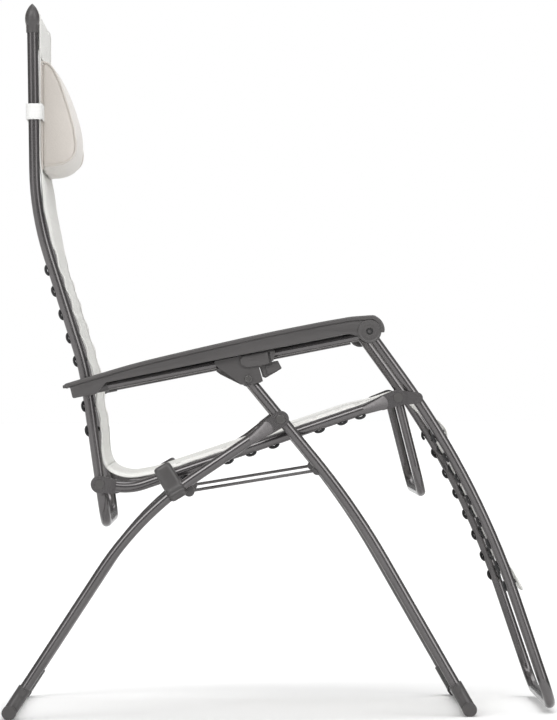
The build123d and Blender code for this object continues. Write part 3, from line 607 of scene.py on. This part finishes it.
# How far the edges lie back, in millimetres, at places down the sling.
tuck_depth = (0, 6, 10, 8, 1, 0, 9, 9.5, 8.5, 0)
tuck_reach = [line.nearest(np.array(spot) * MM) for spot in FREE_SPAN[2:5]]
tuck_reach += [line.nearest(spot) for spot in ((-0.3505, 0.755), (-0.344, 0.712))]
tuck_reach += [line.nearest(spot, 0.5) for spot in side_spots(BACK_PIVOT, (2, 90), (17, 32), (90, 30))]
tuck_reach += [line.nearest(spot, 0.8) for spot in side_spots(FRONT_PIVOT, (-40, 0), (5, 9))]


def tuck(s):
    """How far the cloth's edges lie back towards the tubes, where the middle spans freely."""
    return float(np.interp(s, tuck_reach, tuck_depth)) * MM


CUT_BACK = line.nearest(BACK_PIVOT + np.array((4.0, 84)) * MM)


def pull(s):
    """1 at a lace, 0 midway between two, and None far from any."""
    gap = float(np.min(np.abs(lace_reach - s)))
    if gap > LACE_PITCH * 0.8:
        return 0.5
    return 0.5 + 0.5 * math.cos(2 * math.pi * min(gap, LACE_PITCH / 2) / LACE_PITCH)


NOTCH = 1.6 * MM  # how far the edge draws in midway between laces
SAG = 3.5 * MM
EDGE_FADE = 20 * MM
TUCK_FADE = 30 * MM


def on_cloth(s, side, inset, lift=0.0):
    """A point on the sling: s along it, inset from the edge on one side, and lift off its middle layer."""
    pulled = pull(s)
    laced = 1.0 if lace_reach[0] - 0.03 < s < lace_reach[-1] + 0.03 else 0.0
    half = half_width(s) - NOTCH * (1 - pulled) * laced
    y = half - inset
    fade = math.exp(-max(inset, 0) / EDGE_FADE)
    wave = (1.8 - 3.2 * pulled) if s < CUT_BACK else (0.2 - 0.8 * pulled)
    ripple = wave * MM * fade * laced - tuck(s) * math.exp(-max(inset, 0) / TUCK_FADE)
    hung = 1.0 - (y / half) ** 2
    sag = -SAG * hung * min(1.0, max(0.0, (s - 0.09) / 0.08), (line.length - s) / 0.05)
    spot = line.spot(s) + line.normal(s) * SITTER_SIDE * (lift + ripple + sag)
    return (spot[0], side * y, spot[1])


CUTS = {
    "rear": line.nearest(BACK_PIVOT + np.array((17.0, 32.0)) * MM, 0.5),
    "seat": line.nearest((-0.03, 0.447), 0.5),
    "front": line.nearest(FRONT_PIVOT + np.array((17.0, 5.0)) * MM, 0.8),
}


def across_stations(half):
    """Distances across the cloth, close together near the edges."""
    near = [0, 2, 5, 9, 14, 20, 27, 35, 45, 58, 74, 92, 112, 134, 158, 184, 212]
    return [half * k / BACK_HALF * MM for k in near]


def cloth_rows(start, end, step):
    count = max(2, int(round((end - start) / step)))
    return [start + (end - start) * k / count for k in range(count + 1)]


HEM_WRAP = [
    (26, 1.15), (14, 1.2), (2, 1.2), (-0.6, 0.8), (-1.1, 0), (-0.6, -0.8), (2, -1.2), (14, -1.2), (26, -1.15)
]  # fmt: skip
EYELET_RING = [
    (2.6, 0), (2.8, 1.3), (3.5, 1.9), (4.4, 1.8), (5.0, 1.2), (5.1, -1.2), (4.4, -1.8), (3.5, -1.9),
    (2.8, -1.3), (2.6, 0),
]  # fmt: skip


def make_panel(name, stations):
    """The mesh of one panel, from edge to edge."""
    panel = Shape()
    rows = []
    for s in stations:
        half = half_width(s)
        insets = across_stations(half)
        row = [on_cloth(s, -1, inset) for inset in insets] + [on_cloth(s, -1, half)]
        row += [on_cloth(s, 1, inset) for inset in reversed(insets)]
        rows.append(row)
    us = [point[1] for point in rows[len(rows) // 2]]
    panel.grid(rows, us, stations)
    return panel.build(name, MESH, thickness=CLOTH_T)


def make_hems(name, stations, at_tail):
    """Tape folded over both side edges, and over the sling's lower end."""
    hem = Shape()
    wrap_reach = [0.0]
    for (a, b), (c, d) in zip(HEM_WRAP, HEM_WRAP[1:]):
        wrap_reach.append(wrap_reach[-1] + math.hypot(c - a, d - b) * MM)
    for side in (-1, 1):
        rows = [[on_cloth(s, side, inset * MM, lift * MM) for inset, lift in HEM_WRAP] for s in stations]
        hem.grid(rows, wrap_reach, stations)
    if at_tail:
        ys = np.linspace(-BACK_HALF, BACK_HALF, 41)
        short = 5 * MM
        onward = (line.spot(line.length) - line.spot(line.length - short)) / short
        rows = []
        for inset, lift in HEM_WRAP:
            s = min(line.length - max(inset, 0) * 0.8 * MM, line.length)
            beyond = onward * max(-inset, 0) * MM
            beyond = Vector((beyond[0], 0, beyond[1]))
            row = []
            for y in ys:
                spot = on_cloth(s, -1 if y < 0 else 1, half_width(s) - abs(y), lift * 1.6 * MM)
                row.append(Vector(spot) + beyond)
            rows.append(row)
        hem.grid(rows, list(ys), wrap_reach)
    return hem.build(name + "_hems", TAPE, thickness=0.5 * MM)


def make_stitches(name, start, end):
    """Two rows of stitches on each face of both side hems."""
    stitches = Shape()
    pitch, length = 4.5 * MM, 3.2 * MM
    rise, high, wide = 1.3 * MM, 0.55 * MM, Vector((0, 0.42 * MM, 0))
    rows = [(side, inset, face) for side in (-1, 1) for inset in (4 * MM, 22.5 * MM) for face in (-1, 1)]
    for side, inset, face in rows:
        for s in np.arange(start + pitch / 2, end - length, pitch):
            a, b = (Vector(on_cloth(t, side, inset, face * rise)) for t in (s, s + length))
            middle = (a + b) / 2
            off = line.normal(s) * SITTER_SIDE * face
            off = Vector((off[0], 0, off[1])) * high
            first = len(stitches.verts)
            ends = (a, middle + wide, middle + off, middle - wide, middle - off, b)
            stitches.verts += [tuple(point) for point in ends]
            for j in range(4):
                k = (j + 1) % 4
                stitches.faces.append((first, first + 1 + j, first + 1 + k))
                stitches.faces.append((first + 5, first + 1 + k, first + 1 + j))
                stitches.uvs += [((0, s), (0, s), (0.001, s)), ((0, s), (0, s), (0.001, s))]
                stitches.slots += [0, 0]
    return stitches.build(name + "_stitches", THREAD)


def make_eyelets(name, start, end):
    """Eyelets at the laces of a panel, or None where it has none."""
    eyelets = Shape()
    for s in (lace[0] for lace in LACES if start < lace[0] <= end):
        for side in (-1, 1):
            centre = Vector(on_cloth(s, side, EYELET_INSET))
            above = Vector(on_cloth(s, side, EYELET_INSET, 1 * MM))
            profile = [(r * MM, h * MM) for r, h in EYELET_RING]
            eyelets.lathe(centre, (above - centre).normalized(), profile, 20)
    return eyelets.build(name + "_eyelets", EYELET) if eyelets.verts else None


def make_cloth(name, start, end, zone, replaced):
    """One panel of the sling with its hems, stitches and eyelets."""
    stations = cloth_rows(start, end, 5 * MM)
    cloth = make_panel(name, stations)
    pieces = [make_hems(name, stations, end == line.length), make_stitches(name, start, end)]
    eyelets = make_eyelets(name, start, end)
    if eyelets:
        pieces.append(eyelets)
    for piece in [cloth] + pieces:
        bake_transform(piece)
    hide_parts(*replaced)
    width = half_width(start) + half_width(end)


def zone_spot(s):
    """Point on the sling's middle line, s along it."""
    x, z = line.spot(s)
    return (float(x), 0.0, float(z))


make_cloth(
    "cloth_back",
    0.0,
    CUTS["rear"],
    (zone_spot(CUTS["rear"] - 5 * MM), zone_spot(CUTS["rear"] - 58 * MM)),
    ["sling_back", "sling_rear_corner"],
)
make_cloth(
    "cloth_seat_rear",
    CUTS["rear"],
    CUTS["seat"],
    (zone_spot(CUTS["rear"] + 5 * MM), zone_spot(CUTS["rear"] + 55 * MM)),
    ["sling_seat"],
)
make_cloth(
    "cloth_seat_front",
    CUTS["seat"],
    CUTS["front"],
    (zone_spot(CUTS["front"] - 40 * MM), zone_spot(CUTS["front"] - 3 * MM)),
    ["sling_front_corner"],
)
make_cloth(
    "cloth_legrest",
    CUTS["front"],
    line.length,
    (zone_spot(CUTS["front"] + 3 * MM), zone_spot(CUTS["front"] + 60 * MM)),
    ["sling_legrest"],
)

# ---- lacing ------------------------------------------------------------------------------------------


STRAND_R = 2.1 * MM
LOOP_R = 2.4 * MM


def make_lacing(name, body, replaced, tube_node, rise_axis):
    """Elastic cord from each eyelet to the side tube, and the bight that shows behind the tube."""
    shape = Shape()
    for s, owner, tube_y in LACES:
        if owner != body:
            continue
        spot = line.spot(s)
        ahead = line.normal(s) * SITTER_SIDE
        onward = np.array((ahead[1], -ahead[0]))
        axis = crossing(tube_node, rise_axis, float(spot[0] if rise_axis == 0 else spot[1]))
        axis = axis + onward * float(np.dot(spot - axis, onward))
        fall = tuck(s) / MM * 0.65  # at the eyelets, where the edge's drop has faded a little
        for side in (-1, 1):
            eye_y = half_width(s) - EYELET_INSET
            run = -tube_y

            def place(along_tube, forward, y):
                at = axis + onward * along_tube * MM + ahead * forward * MM
                return np.array((at[0], side * y, at[1]))

            cloth_rise = float(np.dot(spot - axis, ahead)) / MM - 3.0
            for way in (-1, 1):
                strand = [
                    place(way * 1.0, cloth_rise - fall + 0.2, eye_y - 0.8 * MM),
                    place(way * 1.2, cloth_rise - fall - 1.2, eye_y + 0.3 * MM),
                    place(way * 2.6, cloth_rise - fall - 3.6, half_width(s) - 6 * MM),
                    place(way * 6.0, max(cloth_rise - fall - 5.0, 4.5), half_width(s) + 0.5 * MM),
                    place(way * 9.6, 4.6, run - 7.6 * MM),
                    place(way * 10.4, 1.4, run - 4.6 * MM),
                ]
                strand = smooth_line(strand, 2.5 * MM)
                shape.sweep(strand, Vector((onward[0], 0, onward[1])), disc(STRAND_R, 8))
            turns = np.linspace(0, math.pi, 9)
            arch = [place(7.2 * math.cos(a), -7.2 - 3.9 * math.sin(a), run) for a in turns]
            shape.sweep(arch, Vector((0, 1, 0)), disc(LOOP_R, 10))
    lacing = shape.build(name, CORD)
    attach(lacing, body)
    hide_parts(replaced)


make_lacing("lace_back", "back", "lacing_back", "back_tube_right", 2)
make_lacing("lace_seat", "seat", "lacing_seat", "seat_rail_right", 0)
make_lacing("lace_legrest", "legrest", "lacing_legrest", "legrest_tube_right", 2)

# ---- pillow ------------------------------------------------------------------------------------------

PILLOW_LOW, PILLOW_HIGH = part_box("pillow")
PILLOW_HALF = PILLOW_HIGH.y
PILLOW_BACK = PILLOW_LOW.x - 5.5 * MM  # the cloth that the pillow lies on
SWELL = 13 * MM
SWELL_STEPS = 20
# Outlines of an end panel and of the middle: forward of the back, and height in the row frame.
END_PANEL = [
    (0, 1040), (10, 1038), (19, 1028), (29, 1007), (38, 980), (47, 950), (52, 927), (54.5, 905),
    (50, 890), (38, 880), (20, 875.5), (4, 875), (0, 880),
]  # fmt: skip
MIDDLE = [
    (0, 1039), (10, 1038.5), (20, 1029), (31.5, 1008), (43, 980), (53, 950), (57, 926), (56, 901),
    (50, 883), (38, 871), (22, 866), (6, 866), (0, 873),
]  # fmt: skip


def pillow_outline(share):
    """Outline in the side view, forward and round from the top of the back: share 1 at an end panel."""
    spots = []
    for end, mid in zip(END_PANEL, MIDDLE):
        x, z = np.array(mid) + (np.array(end) - np.array(mid)) * share
        spots.append(np.array((PILLOW_BACK + x * MM, z * MM)))
    return smooth_line(spots + spots[:1], 6 * MM)[:-1]


def swell(obj, cap, wall):
    """Blows the closed mesh up as cloth, then limits how far points move and keeps them off the wall."""
    remesh = obj.modifiers.new("remesh", "REMESH")
    remesh.mode = "VOXEL"
    remesh.voxel_size = 5 * MM
    apply_modifiers(obj)
    start = np.array([v.co for v in obj.data.vertices])
    edge = np.array(smooth_line(pillow_outline(1) + pillow_outline(1)[:1], 2 * MM))
    gap = np.min(np.linalg.norm(start[:, None, (0, 2)] - edge[None], axis=2), axis=1)
    out = np.abs(start[:, 1])
    sewn = np.nonzero((gap < 4.5 * MM) & (out > out.max() - 6 * MM))[0]
    group = obj.vertex_groups.new(name="sewn")
    group.add(sewn.tolist(), 1.0, "REPLACE")
    cloth = obj.modifiers.new("swell", "CLOTH")
    cloth.settings.vertex_group_mass = "sewn"
    cloth.settings.use_pressure = True
    cloth.settings.uniform_pressure_force = 4.0
    cloth.settings.effector_weights.gravity = 0
    cloth.settings.tension_stiffness = 12
    cloth.settings.compression_stiffness = 12
    cloth.settings.shear_stiffness = 6
    cloth.settings.bending_stiffness = 0.6
    cloth.point_cache.frame_start = 1
    cloth.point_cache.frame_end = SWELL_STEPS
    for step in range(1, SWELL_STEPS + 1):
        scene.frame_set(step)
    apply_modifiers(obj)
    scene.frame_set(1)
    ends = np.array([v.co for v in obj.data.vertices])
    move = ends - start
    size = np.linalg.norm(move, axis=1, keepdims=True)
    ends = start + move * np.minimum(1.0, cap / np.maximum(size, 1e-9))
    ends[:, 0] = np.maximum(ends[:, 0], wall)
    obj.data.vertices.foreach_set("co", ends.ravel())
    obj.data.update()


def make_pillow():
    """Crowned pad: end panels in a darker copy of the cloth as painted shade, and a front, top and back in the
    lighter copy.
    """
    shape = Shape()
    half = PILLOW_HALF - 4 * MM
    rows = []
    for y in (-1.0, -0.93, -0.8, -0.6, -0.3, 0.0, 0.3, 0.6, 0.8, 0.93, 1.0):
        rows.append([(spot[0], y * half, spot[1]) for spot in pillow_outline(abs(y) ** 5)])
    shape.grid(rows, [0.0] * (len(rows[0]) + 1), [0.0] * len(rows), closed=True, capped=True)
    pillow = shape.build("pillow_pad", PILLOW_END_SHADED, PILLOW_FRONT)
    swell(pillow, SWELL, PILLOW_BACK)
    soft = pillow.modifiers.new("soft", "SUBSURF")
    soft.levels = 1
    apply_modifiers(pillow)
    for face in pillow.data.polygons:
        # Faces of the end panels take slot 0, the darker copy painted as shade.
        at_end = abs(face.center.y) > PILLOW_HALF - 8 * MM and abs(face.normal.y) > 0.3
        face.use_smooth = True
        face.material_index = 0 if at_end else 1
    return pillow


def make_welts():
    """Piped seam round each end panel."""
    shape = Shape()
    for side in (-1, 1):
        y = side * (PILLOW_HALF - 4.6 * MM)
        ring = [Vector((spot[0], y, spot[1])) for spot in pillow_outline(1)]
        shape.sweep(ring + ring[:2], Vector((0, 1, 0)), disc(1.7 * MM, 8), capped=False)
    # The piping takes the end panels' darker copy of the cloth: painted shade.
    return shape.build("pillow_welts", PILLOW_END_SHADED)


pillow = make_pillow()
welts = make_welts()
for piece in (pillow, welts):
    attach(piece, "pillow")
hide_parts("pillow")


def make_strap():
    """Elastic webbing round the back tubes and the sling, which holds the pillow."""
    low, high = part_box("pillow_strap")
    thick = 1.4 * MM
    corner = 11 * MM - thick / 2
    x_mid = [low.x + thick / 2 + corner, high.x - thick / 2 - corner]
    y_mid = high.y - thick / 2 - corner
    plan = []
    corners = [(x_mid[1], y_mid), (x_mid[0], y_mid), (x_mid[0], -y_mid), (x_mid[1], -y_mid)]
    for (x, y), start in zip(corners, (0, 90, 180, 270)):
        for k in range(7):
            angle = math.radians(start + 15 * k)
            plan.append((x + corner * math.cos(angle), y + corner * math.sin(angle)))
    plan.append(plan[0])
    full = []
    for (a, b), (c, d) in zip(plan, plan[1:]):
        steps = max(1, int(math.hypot(c - a, d - b) / (12 * MM)))
        full += [(a + (c - a) * k / steps, b + (d - b) * k / steps) for k in range(steps)]
    z_mid = (low.z + high.z) / 2
    half = (high.z - low.z) / 2
    section = [(half * t, 0.5 * thick) for t in (-0.96, -0.5, 0, 0.5, 0.96)]
    section = [(-half, 0.15 * thick)] + section + [(half, 0.15 * thick), (half, -0.15 * thick)]
    section += [(half * t, -0.5 * thick) for t in (0.96, 0.5, 0, -0.5, -0.96)] + [(-half, -0.15 * thick)]
    shape = Shape()
    path = [Vector((x, y, z_mid)) for x, y in full + full[:1]]
    shape.sweep(path, Vector((0, 0, 1)), section, capped=False)
    strap = shape.build("pillow_band", ELASTIC)
    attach(strap, "pillow")
    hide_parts("pillow_strap")


make_strap()

# ---- armrests ------------------------------------------------------------------------------------------

ARM_REAR = side_middle("arm_rear_rivets")
ARM_FRONT = joint_spot("arm_swing")
ARM_STEP = (ARM_FRONT - ARM_REAR) / np.linalg.norm(ARM_FRONT - ARM_REAR)
ARM_REACH = float(np.linalg.norm(ARM_FRONT - ARM_REAR)) / MM
ARM_Y = 303 * MM
LIP_HALF = 27.0
SKIRT_HALF = 23.8
ARM_TOP = [(-29, 11), (24, 16), (103, 22.5), (260, 28), (372, 29), (430, 28)]


def arm_point(reach, rise, y):
    """Point over the armrest's own frame: reach and rise in millimetres from its rear pivot."""
    spot = ARM_REAR + ARM_STEP * reach * MM + np.array((-ARM_STEP[1], ARM_STEP[0])) * rise * MM
    return Vector((spot[0], y, spot[1]))


def extrude_outline(shape, outline, y_from, y_to, edge, place=arm_point):
    """Solid between two side-view outlines, its rims rounded by edge millimetres."""
    rows = [(y_from, edge), (y_from + edge * 0.3 * MM, edge * 0.3), (y_from + edge * MM, 0)]
    rows = rows + [(y_to - (y - y_from), inset) for y, inset in reversed(rows)]
    count = len(outline)
    points = [np.array(p, float) for p in outline]
    normals = []
    for i in range(count):
        run = points[(i + 1) % count] - points[i - 1]
        off = np.array((run[1], -run[0])) / np.linalg.norm(run)
        normals.append(off)
    area = sum(points[i - 1][0] * points[i][1] - points[i][0] * points[i - 1][1] for i in range(count))
    sense = 1 if area > 0 else -1
    skins = [[place(*(p - n * sense * inset), y) for p, n in zip(points, normals)] for y, inset in rows]
    us = [0.0]
    for i in range(count):
        us.append(us[-1] + float(np.linalg.norm(points[(i + 1) % count] - points[i])) * MM)
    shape.grid(skins, us, [row[0] for row in rows], closed=True, capped=True)


def make_armrest(name, side, node):
    """Moulded cap: a rounded lip over an inset skirt, a block at the rear and a disc over the front pivot."""
    y = side * ARM_Y
    shape = Shape()
    top = [np.array(p) for p in smooth_line(ARM_TOP, 12)]
    under_lip = [(p[0] + 1, p[1] - 4.2) for p in top[1:]]
    nose = [
        (ARM_REACH + 17.2 * math.cos(math.radians(a)), 17.2 * math.sin(math.radians(a)) + 0.5)
        for a in range(60, -131, -10)
    ]
    skirt = nose + [(436, -4), (424, 1.5), (408, 3.6), (380, 3.0), (200, 2.2), (33, 0.6)]
    skirt += [(15, -13.6), (-21, -13.8), (-22.8, -12), (-23.5, 4)]
    extrude_outline(shape, under_lip + skirt, y - SKIRT_HALF * MM, y + SKIRT_HALF * MM, 1.2)
    curl = [
        (ARM_REACH + 20.2 * math.cos(math.radians(a)), 20.2 * math.sin(math.radians(a)) + 2)
        for a in range(64, -21, -12)
    ]
    path = [(-31, 4), (-30.2, 8)] + [tuple(p - np.array((0, 3.7))) for p in top] + [(446, 22.4)] + curl
    path = [arm_point(a, b, y) for a, b in smooth_line(path, 7)]
    lip = [(-LIP_HALF, -1.6), (-LIP_HALF, 0.4), (-26.2, 2.2), (-24, 3.3), (-18, 3.9), (-8, 4.2), (0, 4.3)]
    lip += [(-a, b) for a, b in reversed(lip[:-1])]
    lip += [(26.2, -3.4), (24.6, -3.9), (-24.6, -3.9), (-26.2, -3.4)]
    section = [(a * MM, -b * MM) for a, b in lip]
    grow = [1.0] * len(path)
    grow[0], grow[-1] = 0.93, 0.93
    shape.sweep(path, Vector((0, 1, 0)), section, scale=grow)
    shape.sweep([arm_point(a, -4.6, y) for a in (8, 20, 33, 34.5)], Vector((0, 1, 0)), disc(8.2 * MM, 24))
    for face in (-1, 1):
        centre = arm_point(ARM_REACH, 0, y + face * (SKIRT_HALF - 0.8) * MM)
        dish = [(18.6, -1), (18.6, 1.6), (17.8, 2.6), (16.4, 2.8), (15.4, 2.2), (14.6, 1.9), (7.4, 1.9)]
        dish += [(6.6, 2.2), (5.9, 2.1), (5.5, 1.4), (5.3, -2.4), (0.05, -2.6)]
        shape.lathe(centre, Vector((0, face, 0)), [(r * MM, h * MM) for r, h in dish], 48)
        # The screw in each dish is coloured near black: painted shade for the dark of its recess.
        screw = [(5.2, -2.4), (5.0, 0.9), (4.2, 1.9), (3.0, 1.9), (2.6, 0.6), (0.05, 0.5)]
        shape.lathe(centre, Vector((0, face, 0)), [(r * MM, h * MM) for r, h in screw], 24, slot=1)
    armrest = shape.build(name, PLASTIC, RECESS_SHADE)
    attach(armrest, "arms")
    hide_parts(node)


make_armrest("arm_cap_right", -1, "armrest_right")
make_armrest("arm_cap_left", 1, "armrest_left")

LOCK_REACH = float(np.dot(side_middle("lock_bolts") - ARM_REAR, ARM_STEP)) / MM
CHEEK_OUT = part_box("lock_bracket_left")[1].y
LEVER_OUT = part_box("lock_lever_left")[1].y


def make_lock_trim(side, word):
    """Raised block on the lock's outer cheek, and the finger ribs along its lever."""
    trim = Shape()
    block = [(-2, 0.2), (-7, -5), (-7, -13), (2, -19), (30, -20), (37.5, -19), (37.5, -0.4)]
    catch = [(40.5, -0.6), (40.5, -15), (44, -16.5), (47.5, -9), (49.5, -0.8)]
    for outline in (block, catch):
        spots = [(LOCK_REACH + a, b) for a, b in outline]
        span = sorted((side * (CHEEK_OUT - 1 * MM), side * (CHEEK_OUT + 4.2 * MM)))
        extrude_outline(trim, spots, *span, 1.1)
    plate = trim.build("lock_block_" + word, PLASTIC)
    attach(plate, "lock_brackets")
    ribs = Shape()
    for a, b in ((49.5, -30), (46, -32.3), (42, -33.7), (38, -35), (34, -36.3), (30, -37.2)):
        ends = [arm_point(LOCK_REACH + a, b - 0.6, side * (ARM_Y + t * MM)) for t in (-8, -7, 7, 8)]
        ribs.sweep(ends, Vector((0, 0, 1)), disc(1.2 * MM, 10), scale=[0.6, 1, 1, 0.6])
    pad = [(30, -21), (50, -21), (52, -30), (46, -32.5), (31, -36)]
    span = sorted((side * (LEVER_OUT - 0.5 * MM), side * (LEVER_OUT + 1.3 * MM)))
    extrude_outline(ribs, [(LOCK_REACH + a, b) for a, b in pad], *span, 0.7)
    grip = ribs.build("lever_grip_" + word, PLASTIC)
    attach(grip, "lock_lever_" + word)


make_lock_trim(-1, "right")
make_lock_trim(1, "left")

# ---- clamps on the rear legs -------------------------------------------------------------------------

SEAT_PIN = side_middle("seat_pivot_pins")
PIN_BOSS_R, ROD_BOSS_R = 12.0, 8.5
COLLAR = SEAT_PIN + np.array((7.3, -8.4)) * MM
COLLAR_DOWN = np.array((0.502, -0.865))
# The collar's stations: distance down from its middle, half across and half deep, with ribs at the foot.
COLLAR_SHAPE = [
    (-30.6, 8, 6), (-30.2, 11, 9), (-28.6, 13.4, 11), (-25, 14.4, 12), (-14, 15, 12.7), (0, 15.2, 12.9),
    (11, 15.2, 12.9), (11.5, 16.6, 13.2), (14.5, 16.6, 13.2), (15, 15.2, 12.4), (17, 15.2, 12.4),
    (17.5, 16.4, 12.9), (20.5, 16.4, 12.9), (21, 14.8, 12.0), (23, 14.6, 12.0), (23.5, 15.6, 12.2),
    (26, 15.4, 12.0), (26.5, 13.6, 11.2), (28.4, 11.5, 10), (29, 8, 7),
]  # fmt: skip


def clamp_point(down, across, y):
    """Point over the collar's own frame: down along it and across it in millimetres from its middle."""
    spot = COLLAR + COLLAR_DOWN * down * MM + np.array((-COLLAR_DOWN[1], COLLAR_DOWN[0])) * across * MM
    return Vector((spot[0], y, spot[1]))


def clamp_place(x, z):
    """A spot of the side view in the collar's own frame."""
    off = (np.array((x, z)) - COLLAR) / MM
    across = COLLAR_DOWN[0] * off[1] - COLLAR_DOWN[1] * off[0]
    return np.array((float(np.dot(off, COLLAR_DOWN)), float(across)))


def link_outline(first, first_r, second, second_r):
    """Outline round two discs."""
    run = second - first
    base = math.atan2(run[1], run[0])
    lean = math.acos((first_r - second_r) / float(np.linalg.norm(run)))
    outline = []
    for middle, radius, start, end in (
        (first, first_r, base + lean, base + 2 * math.pi - lean),
        (second, second_r, base - lean, base + lean),
    ):
        turns = np.linspace(start, end, 13)
        outline += [middle + radius * np.array((math.cos(a), math.sin(a))) for a in turns]
    return outline


def make_clamp(side, word):
    """Moulded collar round the leg, and the inner cheek that holds the seat and the stay rod."""
    leg_low, leg_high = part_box("rear_leg_" + word)
    clamp_low, clamp_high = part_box("rear_clamp_" + word)
    leg_y = (leg_low.y + leg_high.y) / 2
    shape = Shape()
    turns = [2 * math.pi * k / 40 for k in range(41)]
    rows = []
    for down, wide, deep in COLLAR_SHAPE:
        ring = []
        for turn in turns[:-1]:
            c, s = math.cos(turn), math.sin(turn)
            across = math.copysign(abs(c) ** 0.5, c) * wide
            ring.append(clamp_point(down, across, leg_y + math.copysign(abs(s) ** 0.62, s) * deep * MM))
        rows.append(ring)
    us = [14 * MM * turn for turn in turns]
    shape.grid(rows, us, [station[0] * MM for station in COLLAR_SHAPE], closed=True, capped=True)
    pin = clamp_place(*SEAT_PIN)
    rod = clamp_place(clamp_high.x - ROD_BOSS_R * MM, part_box("stay_rods")[0].z + 6.5 * MM)
    inner = min(abs(clamp_low.y), abs(clamp_high.y))
    span = sorted((side * inner, side * (abs(leg_y) - 5 * MM)))
    extrude_outline(shape, link_outline(pin, PIN_BOSS_R, rod, ROD_BOSS_R), *span, 1.2, clamp_point)
    clamp = shape.build("clamp_" + word, PLASTIC)
    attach(clamp, "rear_clamps")
    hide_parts("rear_clamp_" + word)


make_clamp(-1, "right")
make_clamp(1, "left")

# ---- floor ---------------------------------------------------------------------------------------------

paper = Finish("floor_paper", (0.985, 0.985, 0.985), 0.95)
paper.shader.inputs["Specular IOR Level"].default_value = 0.1
paper.tint(paper.noise(paper.coords(), 3, 2), 0.995, 1.005)
ground = Shape()
far = 90.0
ground.grid([[(-far, -far, 0), (far, -far, 0)], [(-far, far, 0), (far, far, 0)]], (0, 1), (0, 1))
floor = ground.build("floor", paper.material, smooth=False)
